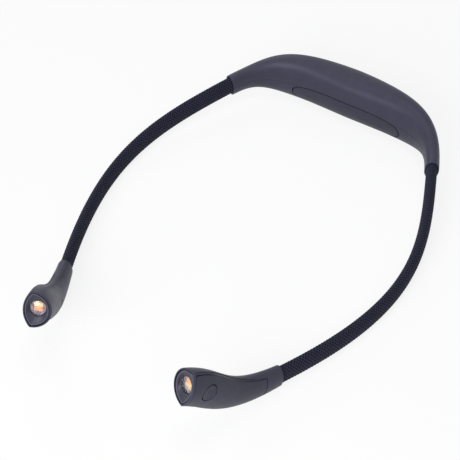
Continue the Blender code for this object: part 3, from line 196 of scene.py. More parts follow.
# Over the lip: shares of its width, across and down, and the painted highlight on the last of them
LIP_STEPS = ((0.02, 0.5), (0.08, 0.2), (0.25, 0.04), (0.5, 0.0), (0.75, 0.05), (0.94, 0.22))
LIP_HIGHLIGHT = (0.6, 1.0, 1.0, 1.0, 0.5)
BEZEL_BACK = 2.5 * MM        # and further in
DISH = 1.15 * MM             # how far the plate falls from its rim to the lens
BARREL_DEPTH = 4.8 * MM
BARREL_DIAMETER = 9.4 * MM
BARREL_BORE = 7.7 * MM
MOUTH_DIAMETER = 8.2 * MM
LENS_DIAMETER = 7.4 * MM
LENS_EDGE = 1.9 * MM
LENS_WALL = 0.6 * MM
LENS_DOME = 0.9 * MM
LENS_STEPS = np.array([1.0, 0.97, 0.92, 0.84, 0.74, 0.62, 0.5, 0.38, 0.25, 0.12])
LENS_SEAT = 2.6 * MM         # front of the dark ledge behind the lens
LENS_SEAT_WIDTH = 0.4 * MM
LENS_SEAT_DEPTH = 0.2 * MM
LED_FRONT = 3.1 * MM
LED_BACK = 4.8 * MM
LED_HALF = (2.1 * MM, 1.08 * MM)
LED_OFFSET = 1.12 * MM
LED_EDGE = 0.3 * MM
LED_SWELL = 0.08 * MM
LED_SQUARENESS = 0.45        # power of the pad's superellipse, square at zero
CUP_RADII = (3.8 * MM, 3.5 * MM, 3.1 * MM, 2.75 * MM, 2.65 * MM)  # of the bowl, inwards
PIN = 0.01 * MM              # radius at which a turned piece is closed on its axis

# The photograph's camera
CAMERA_PLACE = (0.2300679, -0.4280047, 0.5170598)
CAMERA_AXES = ((0.854250, 0.518841, 0.032584), (-0.395715, 0.608320, 0.688009),
               (0.337145, -0.600626, 0.724970))
CAMERA_SENSOR = 36.0         # millimetres
CAMERA_LENS = 109.57
CAMERA_CLIP = (0.01, 20.0)

# Name, place and share of the key light's power
LIGHTS = (("front key", (0.0, -0.9, 0.55), 1.0), ("overhead", (0.0, 0.0, 1.1), 0.3),
          ("left rim", (-0.7, 0.6, 0.6), 0.24), ("right fill", (0.6, -0.6, 0.7), 0.12))
LIGHT_SIZE = 0.6
LIGHT_TARGET = (0.0, 0.0, 0.02)
FLOOR_HALF = 3.0
FLOOR_DROP = 0.02 * MM


# Settings a user would change

def colour_setting(name, description, default):
    """A colour that the panel shows."""
    return FloatVectorProperty(name=name, description=description, default=default,
                               subtype="COLOR", size=3, min=0.0, max=1.0)


class ReadingLightSizes(bpy.types.PropertyGroup):
    """Sizes of the light's fine detail."""
    sleeve_strands: IntProperty(
        name="Sleeve strands", description="Braid cells round the sleeve", default=13, min=8, max=40)
    sleeve_pitch: FloatProperty(
        name="Braid pitch", description="Length of a braid cell along the arm",
        default=1.7 * MM, min=0.5 * MM, max=4 * MM, subtype="DISTANCE", unit="LENGTH")
    sleeve_relief: FloatProperty(
        name="Braid relief", description="Height of the strands over the gaps between them",
        default=0.34 * MM, min=0.0, max=0.6 * MM, subtype="DISTANCE", unit="LENGTH")
    button_dish: FloatProperty(
        name="Button dish", description="How far the middle of the button is hollowed",
        default=0.22 * MM, min=0.0, max=0.5 * MM, subtype="DISTANCE", unit="LENGTH")
    lens_dome: FloatProperty(
        name="Lens dome", description="How far the lens swells over its edge",
        default=LENS_DOME, min=0.1 * MM, max=1.1 * MM, subtype="DISTANCE", unit="LENGTH")


class ReadingLightColours(bpy.types.PropertyGroup):
    """Colours and light levels."""
    shell: colour_setting("Shell", "Soft matte plastic of the housing and heads", (0.048, 0.048, 0.078))
    cover: colour_setting("Side cover", "Cover on the outer side of each head", (0.045, 0.047, 0.073))
    pad: colour_setting("Neck pad", "Rubber pad on the neck side", (0.038, 0.040, 0.061))
    sleeve: colour_setting("Sleeve", "Yarn of the braided sleeve", (0.023, 0.024, 0.045))
    bezel: colour_setting("Bezel", "Plate round the lens", (0.046, 0.046, 0.066))
    reflector: colour_setting("Reflector", "Bowl round the LEDs", (0.42, 0.39, 0.47))
    cool_led: colour_setting("Cool LED", "Phosphor of the cooler LED", (0.92, 0.72, 0.36))
    warm_led: colour_setting("Warm LED", "Phosphor of the warmer LED", (0.95, 0.46, 0.22))
    # A painted glow: emission that brightens the phosphor of an LED that is off
    led_painted_glow: FloatProperty(
        name="LED glow", description="Light that the phosphor gives off by itself",
        default=0.35, min=0.0, max=5.0)
    key_power: FloatProperty(
        name="Key light", description="Power of the light at the front", default=6.8, min=0.0,
        max=200.0, subtype="POWER", unit="POWER")


def sizes():
    """The sizes as the user has them."""
    return bpy.context.scene.reading_light_sizes


def colours():
    """The colours and light levels as the user has them."""
    return bpy.context.scene.reading_light_colours


# Curves and skins

def unit(v):
    """Vectors at length one."""
    return v / np.linalg.norm(v, axis=-1, keepdims=True)


def turn_angles(count):
    """Angles evenly spaced round a full turn."""
    return np.linspace(0, 2 * math.pi, count, endpoint=False)


def set_out(place, axes, *amounts):
    """Points reached from a place by going an amount along each axis."""
    for axis, amount in zip(axes, amounts):
        place = place + np.asarray(amount)[..., None] * axis
    return place


def run_along(points):
    """Distance along a line of points, from its first point to each."""
    return np.concatenate([[0.0], np.cumsum(np.linalg.norm(np.diff(points, axis=0), axis=1))])


def smooth(x):
    """Smoothstep, 3x^2 - 2x^3."""
    return x * x * (3 - 2 * x)


def bezier(points, u):
    """Sum of the control points weighted by the cubic Bernstein polynomials of u."""
    u = np.asarray(u, float)[..., None]
    v = 1 - u
    return v ** 3 * points[0] + 3 * v * v * u * points[1] + 3 * v * u * u * points[2] + u ** 3 * points[3]


def bezier_slope(points, u):
    """Unit tangent: the Bezier curve's derivative at length one."""
    u = np.asarray(u, float)[..., None]
    v = 1 - u
    return unit(v * v * (points[1] - points[0]) + 2 * v * u * (points[2] - points[1])
                + u * u * (points[3] - points[2]))


def end_rate(points):
    """Length that the curve runs at its end for each unit of its parameter."""
    return 3 * np.linalg.norm(points[3] - points[2])


def side_and_up(along):
    """The level direction away from the neck, and the one square to it and the tangent."""
    away = unit(np.cross(UP, along))
    return away, np.cross(along, away)


def signed_power(x, power):
    """The power of x's size, with x's sign."""
    return np.sign(x) * np.abs(x) ** power


def housing_skin(share, level, face, inset=0.0):
    """Point of the housing's skin.

    share runs from -1 at the left collar to 1 at the right one, along a Bezier curve. level
    is the height over the middle as a share of half the height, and face is +1 on the back
    or -1 on the neck side. The section is a superellipse, (x/a)^p + (z/b)^p = 1, whose half
    axes fall from the middle to the collars as (1 - share^m)^n. A shallow bell-shaped hollow
    is taken out above the neck pad.
    """
    share, level, face, inset = np.broadcast_arrays(share, level, face, inset)
    size = np.abs(share)
    away, up = side_and_up(bezier_slope(HOUSING_CURVE, size))

    def fall(powers):
        return np.clip(1 - size ** powers[0], 0, 1) ** powers[1]

    depth_fall = fall(DEPTH_FALL)
    half_depth = COLLAR_DEPTH / 2 + (HOUSING_DEPTH - COLLAR_DEPTH) / 2 * depth_fall - inset
    half_height = COLLAR_HEIGHT / 2 + (HOUSING_HEIGHT - COLLAR_HEIGHT) / 2 * fall(HEIGHT_FALL) - inset
    width = np.clip(1 - np.abs(level) ** SECTION_POWER, 0, 1) ** (1 / SECTION_POWER)
    x = face * half_depth * width
    bell = np.exp(-((level - HOLLOW_LEVEL) / HOLLOW_SPREAD) ** 2)
    x = x * (1 - HOLLOW_DEPTH * depth_fall * bell * (x < 0)) + HOUSING_SHIFT * depth_fall
    point = set_out(bezier(HOUSING_CURVE, size), (away, up), x, half_height * level)
    point[..., 0] *= np.where(share < 0, -1, 1)
    return point


def housing_ring(count):
    """Levels and faces round the section, evenly spaced by the superellipse's angle.

    Extra points stand just over and under the middle height, for the seam's chamfer.
    """
    angle = turn_angles(count)
    near = np.array([0.006, 0.014, 0.026, 0.045])
    extra = np.concatenate([near, math.pi - near, math.pi + near, 2 * math.pi - near])
    angle = np.unique(np.round(np.concatenate([angle, extra]), 6))
    level = signed_power(np.sin(angle), 2 / SECTION_POWER)
    return level, np.where(np.cos(angle) >= 0, 1.0, -1.0)


def superellipse(count, power):
    """x and y round a unit superellipse: the powers of the cosine and sine, signs kept."""
    angle = turn_angles(count)
    return signed_power(np.cos(angle), power), signed_power(np.sin(angle), power)


def leaf_radius(angle, inset=0.0):
    """Radius of the leaf: the softened nearer of its flat outer and round inner arc."""
    corner_x = (FACE_INNER_BULGE - FACE_OUTER_BULGE) / 2
    half = FACE_HEIGHT / 2
    outer = (half ** 2 + FACE_OUTER_BULGE ** 2) / (2 * FACE_OUTER_BULGE)
    inner = (half ** 2 + FACE_INNER_BULGE ** 2) / (2 * FACE_INNER_BULGE)

    def to_arc(centre, radius):
        along = centre * np.cos(angle)
        return along + np.sqrt(along ** 2 + radius ** 2 - centre ** 2)

    first = to_arc(corner_x + FACE_OUTER_BULGE - outer, outer - inset)
    second = to_arc(corner_x - FACE_INNER_BULGE + inner, inner - inset)
    return first * (1 + (first / second) ** CORNER_SOFTNESS) ** (-1 / CORNER_SOFTNESS)


def corner_angle():
    """Angle of the leaf's upper corner."""
    return math.atan2(FACE_HEIGHT / 2, (FACE_INNER_BULGE - FACE_OUTER_BULGE) / 2)


def head_frame(share):
    """Centre of the head's section, and the directions away, up and ahead, slowly turned."""
    share = np.asarray(share, float)
    ahead = bezier_slope(HEAD_CURVE, share)
    away, up = side_and_up(ahead)
    twist = (HEAD_TWIST * share)[..., None]
    return (bezier(HEAD_CURVE, share), away * np.cos(twist) + up * np.sin(twist),
            up * np.cos(twist) - away * np.sin(twist), ahead)


def head_skin(share, angle, inset=0.0):
    """Point of the head's skin at a share of its Bezier curve and an angle round it.

    The radius passes from the collar's ellipse to the leaf as a smoothstep of a power of the
    share, the ring turns slowly about the curve, and it leans with the face as it nears it.
    """
    share, angle, inset = np.broadcast_arrays(share, angle, inset)
    held = np.clip(share, 0, 1)
    centre, away, up, ahead = head_frame(held)
    growth = smooth(held ** HEAD_GROWTH)
    oval = 1 / np.hypot(np.cos(angle) / (COLLAR_DEPTH / 2 - inset),
                        np.sin(angle) / (COLLAR_HEIGHT / 2 - inset))
    radius = oval * (1 - growth) + leaf_radius(angle, inset) * growth
    x, z = radius * np.cos(angle), radius * np.sin(angle)
    lean = z * FACE_RAKE * growth ** 2 + (share - held) * end_rate(HEAD_CURVE)
    return set_out(centre, (away, up, ahead), x, z, lean)


def head_angles(count):
    """Angles round the leaf, closer together at its two corners."""
    angle = np.linspace(-math.pi, math.pi, count, endpoint=False)
    near = np.array([0.0, 0.009, 0.018, 0.03, 0.05])
    near = np.concatenate([-near[:0:-1], near])
    return np.unique(np.round(np.concatenate([angle, corner_angle() + near, near - corner_angle()]), 6))


def route(start_share=0.7, steps=1200):
    """The gooseneck's route through housing, arm and head: points and their distances."""
    pieces = [bezier(HOUSING_CURVE, np.linspace(start_share, 1, steps)[:-1]),
              bezier(ARM_CURVE, np.linspace(0, 1, steps)),
              bezier(HEAD_CURVE, np.linspace(0, 1, steps)[1:])]
    points = np.concatenate(pieces)
    length = run_along(points)
    return points, length - length[len(pieces[0])]


ROUTE_POINTS, ROUTE_LENGTHS = route()
ROUTE_SPAN = 0.6 * MM        # on both sides of a point, over which its tangent is taken


def route_frame(distance):
    """Point on the route, tangent, level side and upward direction at each distance."""
    def read(where):
        return np.stack([np.interp(where, ROUTE_LENGTHS, ROUTE_POINTS[:, k]) for k in range(3)], -1)

    distance = np.asarray(distance, float)
    along = unit(read(distance + ROUTE_SPAN) - read(distance - ROUTE_SPAN))
    away, up = side_and_up(along)
    return read(distance), along, away, up


def rounding(distance, radius):
    """How far a surface draws in at a distance from its edge, for a quarter-round edge."""
    short = np.clip(radius - distance, 0, radius)
    return radius - np.sqrt(radius ** 2 - short ** 2)


def from_edges(length, radius, middle):
    """Positions along a length, close together near both ends where the edge is rounded."""
    near = radius * QUARTER
    inner = np.linspace(radius * 1.4, length - radius * 1.4, middle)
    return np.concatenate([near, inner, length - near[::-1]])


def solve_on(skin, guess, place, right, up, x, y):
    """Parameters and points of a skin whose offset from place along right and up is (x, y).

    Newton's method on both parameters at once, with slopes from small differences.
    """
    u, v = (np.array(g, float) for g in guess)
    step = 1e-5
    for _ in range(12):
        here = skin(u, v)
        by_u, by_v = (skin(u + step, v) - here) / step, (skin(u, v + step) - here) / step
        ex, ey = (here - place) @ right - x, (here - place) @ up - y
        a, b, c, d = by_u @ right, by_v @ right, by_u @ up, by_v @ up
        det = a * d - b * c
        u = u - np.clip((ex * d - ey * b) / det, -0.2, 0.2)
        v = v - np.clip((ey * a - ex * c) / det, -0.2, 0.2)
    return u, v, skin(u, v)


# Meshes

def grid_faces(rows, columns, round_rows=False, round_columns=False, first=0):
    """Quads between neighbouring points of a grid that is numbered row by row."""
    r = np.arange(rows if round_rows else rows - 1)
    c = np.arange(columns if round_columns else columns - 1)
    r, c = np.meshgrid(r, c, indexing="ij")
    r2, c2 = (r + 1) % rows, (c + 1) % columns
    quads = np.stack([r * columns + c, r2 * columns + c, r2 * columns + c2, r * columns + c2], -1)
    return (quads.reshape(-1, 4) + first).tolist()


def make_mesh(name, points, faces, side=1, weld=True):
    """A closed mesh, mirrored for the left side, with its doubles merged and faces outward."""
    points = np.asarray(points, float).reshape(-1, 3) * np.array([side, 1, 1])
    mesh = bpy.data.meshes.new(name)
    mesh.from_pydata(points.tolist(), [], faces)
    bm = bmesh.new()
    bm.from_mesh(mesh)
    if weld:
        bmesh.ops.remove_doubles(bm, verts=bm.verts, dist=1e-7)
    bmesh.ops.recalc_face_normals(bm, faces=bm.faces)
    bm.to_mesh(mesh)
    bm.free()
    return mesh


def tube(name, rings, side=1, weld=True):
    """Rings joined along their length and closed by a flat face at each end."""
    rows, columns = rings.shape[:2]
    ends = [list(range(columns)), list(range((rows - 1) * columns, rows * columns))]
    faces = grid_faces(rows, columns, round_columns=True) + ends
    return make_mesh(name, rings, faces, side, weld)


def patch(name, front, back, side=1):
    """Two open grids of equal size, front and back, and the strip that joins their borders."""
    rows, columns = front.shape[:2]
    count = rows * columns
    index = np.arange(count).reshape(rows, columns)
    border = np.concatenate([index[0], index[1:-1, -1], index[-1][::-1], index[1:-1, 0][::-1]])
    after = np.roll(border, -1)
    strip = np.stack([border, after, after + count, border + count], -1).tolist()
    faces = grid_faces(rows, columns) + grid_faces(rows, columns, first=count) + strip
    return make_mesh(name, np.concatenate([front.reshape(-1, 3), back.reshape(-1, 3)]), faces, side)


def spun(profile, place, axes, sides):
    """Rings of (radius, height) points turned about the third axis at a place."""
    profile, angle = np.asarray(profile, float), turn_angles(sides)
    radius, height = profile[:, :1], profile[:, 1:]
    return set_out(place, axes, radius * np.cos(angle), radius * np.sin(angle), height)


def turned(name, profile, place, axes, sides, side=1):
    """A profile spun about the third axis and closed at both ends."""
    return tube(name, spun(profile, place, axes, sides), side)


BOX_CORNERS = np.array([[x, y, z] for z in (0, 1) for x, y in ((0, 0), (1, 0), (1, 1), (0, 1))])
BOX_FACES = [[0, 1, 2, 3], [4, 5, 6, 7], [0, 1, 5, 4], [1, 2, 6, 5], [2, 3, 7, 6], [3, 0, 4, 7]]
WORLD_AXES = np.eye(3)


def box(name, low, high, place=np.zeros(3), axes=WORLD_AXES, side=1):
    """A box between two corners, which are measured along three axes from a place."""
    low, high = np.asarray(low, float), np.asarray(high, float)
    corners = low + (high - low) * BOX_CORNERS
    return make_mesh(name, set_out(place, axes, *corners.T), BOX_FACES, side)


def carve(mesh, *steps):
    """The mesh after Boolean steps: meshes to cut away, or an operation and a mesh."""
    target = bpy.data.objects.new(mesh.name + "_target", mesh)
    bpy.context.scene.collection.objects.link(target)
    helpers = []
    for step in steps:
        operation, other = step if isinstance(step, tuple) else ("DIFFERENCE", step)
        helper = bpy.data.objects.new(other.name + "_helper", other)
        bpy.context.scene.collection.objects.link(helper)
        helpers.append(helper)
        modifier = target.modifiers.new(operation, "BOOLEAN")
        modifier.operation = operation
        modifier.solver = "EXACT"
        modifier.object = helper
    bpy.context.view_layer.update()
    evaluated = target.evaluated_get(bpy.context.evaluated_depsgraph_get())
    result = bpy.data.meshes.new_from_object(evaluated)
    if not result.polygons:
        raise RuntimeError("nothing is left of %s after its Boolean steps" % mesh.name)
    for obj in [target] + helpers:
        data = obj.data
        bpy.data.objects.remove(obj, do_unlink=True)
        bpy.data.meshes.remove(data)
    return result


def body_name(label, body):
    """The housing, or the body of that name on one side."""
    return body if body == "housing" else "%s_%s" % (label, body)


def add_attribute(mesh, name, values):
    """Give each point of a mesh a number that its material reads."""
    data = mesh.attributes.new(name, "FLOAT", "POINT").data
    data.foreach_set("value", np.ravel(values).astype(np.float32))


def light_collection():
    """The collection that holds the light's own pieces."""
    collection = bpy.data.collections.get("neck_reading_light")
    if collection is None:
        collection = bpy.data.collections.new("neck_reading_light")
        bpy.context.scene.collection.children.link(collection)
    return collection


def add_piece(name, mesh, material, body=None, nodes=(), sharp=SHARP_EDGE):
    """A piece in the light's collection, smooth but for its sharp edges, riding on a body."""
    obj = bpy.data.objects.new(name, mesh)
    light_collection().objects.link(obj)
    mesh.materials.clear()
    mesh.materials.append(material)
    mesh.shade_smooth()
    mesh.set_sharp_from_angle(angle=math.radians(sharp))
    if body:
        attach(obj, body)
    if nodes:
        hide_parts(*nodes)
    return obj


def add_pairs(*pieces, body="head"):
    """Pieces for each side, riding on that side's body.

    Each is given as its name, a function of the side that makes its mesh, its material, its slot, which is
    not used, and the CAD node that it replaces, if any.
    """
    for label, side in SIDES:
        for kind, make, material, slot, node in pieces:
            nodes = ["%s_%s" % (label, node)] if node else ()
            add_piece("%s_%s" % (label, kind), make(side), material, body_name(label, body), nodes)


# Materials

def made_once(make):
    """Gives back the material of that name where it exists, and makes it where it doesn't."""
    def find(name, *looks):
        return bpy.data.materials.get(name) or make(name, *looks)

    return find


def new_material(name):
    """A new material and its nodes."""
    material = bpy.data.materials.new(name)
    material.use_nodes = True
    return material, material.node_tree.nodes


def new_finish(name):
    """A new material, its shader, and the object's own coordinates for its patterns."""
    material, nodes = new_material(name)
    return material, nodes["Principled BSDF"], nodes.new("ShaderNodeTexCoord").outputs["Object"]


def add_node(near, kind, inputs):
    """A node in the tree that near belongs to, with its inputs set or linked."""
    return feed(near.id_data.nodes.new(kind), inputs)


def feed(node, inputs):
    """Set a node's inputs by name or number: a value is written, a socket is linked."""
    for key, value in inputs.items():
        if isinstance(value, bpy.types.NodeSocket):
            node.id_data.links.new(value, node.inputs[key])
        else:
            node.inputs[key].default_value = value
    return node


def noise(vector, scale, detail=3.0, rough=0.55):
    """Soft noise of a scale, as a socket."""
    inputs = {"Vector": vector, "Scale": scale, "Detail": detail, "Roughness": rough}
    return add_node(vector, "ShaderNodeTexNoise", inputs).outputs["Fac"]


def stretched(vector, scale):
    """Coordinates with each axis at its own scale."""
    return add_node(vector, "ShaderNodeMapping", {"Vector": vector, "Scale": scale}).outputs["Vector"]


def ramp(source, *stops):
    """Colours at positions of the source, and their blend between."""
    node = add_node(source, "ShaderNodeValToRGB", {"Fac": source})
    while len(node.color_ramp.elements) < len(stops):
        node.color_ramp.elements.new(0.5)
    for element, (position, colour) in zip(node.color_ramp.elements, stops):
        element.position = position
        element.color = (*colour, 1.0)
    return node.outputs["Color"]


def two_tones(source, low, high):
    """From the low colour to the high one over the middle of a noise."""
    return ramp(source, (0.3, low), (0.7, high))


def spread(source, low, high):
    """From the low value to the high one over the middle of a noise."""
    inputs = {"Value": source, "From Min": 0.3, "From Max": 0.7, "To Min": low, "To Max": high}
    return add_node(source, "ShaderNodeMapRange", inputs).outputs["Result"]


def bump(height, distance, strength):
    """The normal that a height gives."""
    inputs = {"Height": height, "Distance": distance, "Strength": strength}
    return add_node(height, "ShaderNodeBump", inputs).outputs["Normal"]


def colour_mix(share, first, second, blend="MIX"):
    """The first colour, with the second mixed in by a share."""
    node = add_node(first, "ShaderNodeMix", {})
    node.data_type = "RGBA"
    node.blend_type = blend
    return feed(node, {"Factor": share, "A": first, "B": second}).outputs["Result"]


def piece_attribute(near, name):
    """An attribute that the piece's mesh carries."""
    node = add_node(near, "ShaderNodeAttribute", {})
    node.attribute_name = name
    return node.outputs["Fac"]


def shades(colour, *factors):
    """The colour times each factor."""
    return [tuple(min(1.0, channel * factor) for channel in colour) for factor in factors]


@made_once
def plastic(name, colour, roughness=0.46, grain=0.5):
    """Soft matte moulded plastic: a faint mottle, uneven gloss and a fine spark-eroded grain."""
    material, shader, where = new_finish(name)
    feed(shader, {
        "Base Color": two_tones(noise(where, 160.0, 4.0), *shades(colour, 0.93, 1.08)),
        "Roughness": spread(noise(where, 420.0, 5.0, 0.6), roughness - 0.04, roughness + 0.05),
        "Normal": bump(noise(where, 5200.0, 2.0, 0.5), 0.05 * MM, grain),
        "Specular IOR Level": 0.32,
        "Specular Tint": (0.88, 0.85, 1.0, 1.0),
    })
    return material


def highlight_plastic(name, colour, roughness, grain):
    """Plastic with a painted highlight: paler where the piece's highlight attribute is high, as along a
    rounded edge that catches the light.
    """
    material = plastic(name, colour, roughness, grain)
    shader = material.node_tree.nodes["Principled BSDF"]
    base = shader.inputs["Base Color"].links[0].from_socket
    # Colour of the painted highlight: the plastic's own colour, brightened
    painted_highlight = (*shades(colour, 2.8)[0], 1.0)
    feed(shader, {"Base Color": colour_mix(piece_attribute(shader, "lip_highlight"), base, painted_highlight)})
    return material


def rubber(name, colour):
    """Dense silicone rubber: more matt than the shells, with a slight dusty sheen."""
    material = plastic(name, colour, 0.6, 0.8)
    feed(material.node_tree.nodes["Principled BSDF"], {"Sheen Weight": 0.12})
    return material


@made_once
def yarn(name, colour):
    """Braided polyester yarn with fine fibres, whose colour has painted shade in the gaps between strands and
    a painted highlight on their crowns.

    The piece carries its relief in the attribute "relief" and a UV map in metres.
    """
    material, nodes = new_material(name)
    shader = nodes["Principled BSDF"]
    weave = add_node(shader, "ShaderNodeUVMap", {})
    weave.uv_map = "weave"
    fibre = noise(stretched(weave.outputs["UV"], (2600.0, 7800.0, 1.0)), 1.0, 3.0, 0.6)
    # Painted shade in the braid's gaps and a painted highlight on its strands, set by the relief
    gap, low, high = shades(colour, 0.12, 0.75, 2.3)
    base = ramp(piece_attribute(shader, "relief"), (0.25, gap), (0.6, low), (0.95, high))
    tint = two_tones(fibre, (0.72, 0.72, 0.74), (1.0, 1.0, 1.0))
    feed(shader, {
        "Base Color": colour_mix(1.0, base, tint, "MULTIPLY"),
        "Roughness": spread(fibre, 0.7, 0.9),
        "Normal": bump(fibre, 0.08 * MM, 0.5),
        "Specular IOR Level": 0.15,
        "Sheen Weight": 0.05,
        "Sheen Roughness": 0.4,
    })
    return material


@made_once
def metal(name, colour, roughness):
    """Drawn or stamped metal: streaks along one direction and an uneven polish."""
    material, shader, where = new_finish(name)
    streaks = noise(stretched(where, (300.0, 300.0, 3000.0)), 1.0, 4.0, 0.6)
    feed(shader, {
        "Metallic": 1.0,
        "Base Color": two_tones(streaks, *shades(colour, 0.82, 1.12)),
        "Roughness": spread(streaks, roughness - 0.08, roughness + 0.1),
        "Normal": bump(streaks, 0.02 * MM, 0.3),
    })
    return material


@made_once
def clear(name, colour, roughness, transmission):
    """Clear or frosted polycarbonate with a barely uneven polish."""
    material, shader, where = new_finish(name)
    feed(shader, {
        "Base Color": (*colour, 1.0),
        "IOR": 1.5,
        "Transmission Weight": transmission,
        "Roughness": spread(noise(where, 900.0), roughness, roughness + 0.04),
    })
    return material


@made_once
def phosphor(name, colour, glow):
    """LED phosphor gel: a fine grainy colour, with a painted glow that brightens the unlit phosphor."""
    material, shader, where = new_finish(name)
    tone = two_tones(noise(where, 3500.0), *shades(colour, 0.9, 1.05))
    # The emission is a painted glow on the phosphor of an LED that is off
    feed(shader, {"Base Color": tone, "Emission Color": tone, "Emission Strength": glow,
                  "Roughness": 0.35})
    return material


@made_once
def circuit(name, colour):
    """Solder resist over copper tracks: square cells of two close tones under a gloss."""
    material, shader, where = new_finish(name)
    cells = add_node(where, "ShaderNodeTexVoronoi", {"Vector": where, "Scale": 700.0})
    cells.distance = "MANHATTAN"
    low, high = shades(colour, 0.7, 1.25)
    reach = cells.outputs["Distance"]
    feed(shader, {"Base Color": ramp(reach, (0.35, low), (0.45, high)), "Roughness": 0.3,
                  "Normal": bump(reach, 0.03 * MM, 0.3)})
    return material


# Housing

def housing_body():
    """The housing's whole outer skin as a solid, chamfered along its seam and at its collars."""
    level, face = housing_ring(96)
    half_end = end_rate(HOUSING_CURVE)
    rim = COLLAR_ROUNDING * QUARTER / half_end
    share = np.concatenate([np.linspace(0, 1 - rim[-1] * 1.6, 90), 1 - rim[::-1]])
    share = np.concatenate([-share[:0:-1], share])
    collar = rounding((1 - np.abs(share)) * half_end, COLLAR_ROUNDING)
    height = level * HOUSING_HEIGHT / 2
    seam = np.clip(SEAM_CHAMFER - np.clip(np.abs(height) - SEAM_GAP / 2, 0, 1), 0, SEAM_CHAMFER)
    return tube("housing_body", housing_skin(share[:, None], level, face, collar[:, None] + seam))


def housing_space(inset):
    """The room inside the housing at an inset from its skin, as a solid."""
    level, face = housing_ring(40)
    share = np.linspace(-CAVITY_END, CAVITY_END, 61)
    return tube("housing_space", housing_skin(share[:, None], level, face, inset))


def on_neck_side(x, z):
    """Points of the housing's neck side at the given X and Z, by Newton's method."""
    level = (z - HOUSING_MID) / (HOUSING_HEIGHT / 2)

    def skin(share, height):
        return housing_skin(share, height, -1.0)

    _, _, points = solve_on(skin, (x / (75 * MM), level), np.zeros(3), np.array([1.0, 0, 0]), UP, x, z)
    return points


def pad_plate(name, grow, proud, depth, edge):
    """A plate on the neck side within a superellipse, from proud of the skin to a depth in it.

    Rings of the outline are carried inwards to the middle. Each point takes the skin's Y at
    its own X and Z, and the outer ones draw in by a quarter round of radius edge.
    """
    half = np.array([PAD_LENGTH / 2 + grow, PAD_HEIGHT / 2 + grow])
    outline = np.stack(superellipse(160, 2 / PAD_POWER), -1)
    drawn = np.concatenate([edge * QUARTER,
                            np.linspace(edge * 1.5 + 0.1 * MM, half[1] - 0.05 * MM, 12)])
    flat = outline * (half - drawn[:, None, None])
    centre_z = HOUSING_MID - PAD_DROP
    skin = on_neck_side(flat[..., 0], flat[..., 1] + centre_z)
    top, bottom = skin.copy(), skin.copy()
    top[..., 1] -= (proud - rounding(drawn, max(edge, 1e-6)))[:, None]
    bottom[..., 1] += depth
    return tube(name, np.concatenate([top[::-1], bottom]))


def collar_cuts(side, distance, outwards):
    """The sleeve's pocket and the ferrule's bore at one end of the arm."""
    wide, tall = SLEEVE_THICKNESS / 2 + FIT_GAP, SLEEVE_HEIGHT / 2 + FIT_GAP
    floor = distance + outwards * (SLEEVE_ENTRY + FIT_GAP)
    end = distance + outwards * (CORE_ENTRY + 3 * MM)
    pocket = oval_rings(np.linspace(distance - outwards * 3 * MM, floor, 20), wide, tall, 48)
    bore = oval_rings(np.linspace(floor - outwards * FIT_GAP, end, 12), FERRULE_RADIUS, FERRULE_RADIUS, 24)
    return tube("pocket", pocket, side), tube("bore", bore, side)


def oval_rings(distance, half_width, half_height, count):
    """Rings (half_width cos a, half_height sin a) square to the gooseneck's route."""
    place, _, away, up = route_frame(distance)
    angle = turn_angles(count)
    return set_out(place[:, None], (away[:, None], up[:, None]),
                   half_width * np.cos(angle), half_height * np.sin(angle))


def port_slot(width, height, low_y, high_y):
    """A level slot with round ends, carried along Y: a half circle at each end of a box."""
    angle = np.linspace(-math.pi / 2, math.pi / 2, 16)
    right = np.stack([(width - height) / 2 + height / 2 * np.cos(angle), height / 2 * np.sin(angle)], -1)
    outline = np.concatenate([right, -right])
    points = np.zeros((2, len(outline), 3))
    points[..., 0] = outline[:, 0]
    points[..., 1] = np.array([low_y, high_y])[:, None]
    points[..., 2] = PORT_PLACE[2] + outline[:, 1]
    return tube("port_slot", points)


def screw_place(side):
    """The screw's axis at floor level, under the housing's curve."""
    share = np.linspace(0, 1, 400)
    curve = bezier(HOUSING_CURVE, share)
    return np.array([side * SCREW_X, np.interp(SCREW_X, curve[:, 0], curve[:, 1]), 0.0])


def half_shell(low, high, fittings, cuts):
    """The housing's outer skin, hollowed, fitted out inside and kept between two heights."""
    inner = carve(housing_space(HOUSING_WALL / 2), ("INTERSECT", fittings))
    keep = box("keep", (-BEYOND, -BEYOND, low), (BEYOND, BEYOND, high))
    return carve(housing_body(), housing_space(HOUSING_WALL), ("UNION", inner), ("INTERSECT", keep), *cuts)


def screw_holes():
    """Stepped holes for the screws: wide for the head, then slim up into the upper boss."""
    wide, slim = SCREW_HEAD_DIAMETER / 2 + FIT_GAP, SCREW_HOLE_RADIUS
    step, top = SCREW_SINK + SCREW_HEAD_HEIGHT + FIT_GAP, SCREW_TOP + 0.6 * MM
    profile = [(0, top), (slim, top), (slim, step), (wide, step), (wide, -3 * MM), (0, -3 * MM)]
    return [turned("screw_hole", profile, screw_place(side), WORLD_AXES, 32) for _, side in SIDES]


def bosses():
    """The posts that the housing screws go up through."""
    radius = BOSS_DIAMETER / 2
    profile = [(0, 40 * MM), (radius, 40 * MM), (radius, -MM), (0, -MM)]
    first, second = [turned("boss", profile, screw_place(side), WORLD_AXES, 32) for _, side in SIDES]
    return carve(first, ("UNION", second))


def shell_cuts():
    """What is cut from both halves: the pad's recess, the collars' pockets and the screw holes."""
    recess = pad_plate("pad_recess", PAD_GROOVE, 8 * MM, PAD_THICKNESS + FIT_GAP, 0.0)
    ends = [cut for _, side in SIDES for cut in collar_cuts(side, 0.0, -1)]
    return [recess, *ends, *screw_holes()]


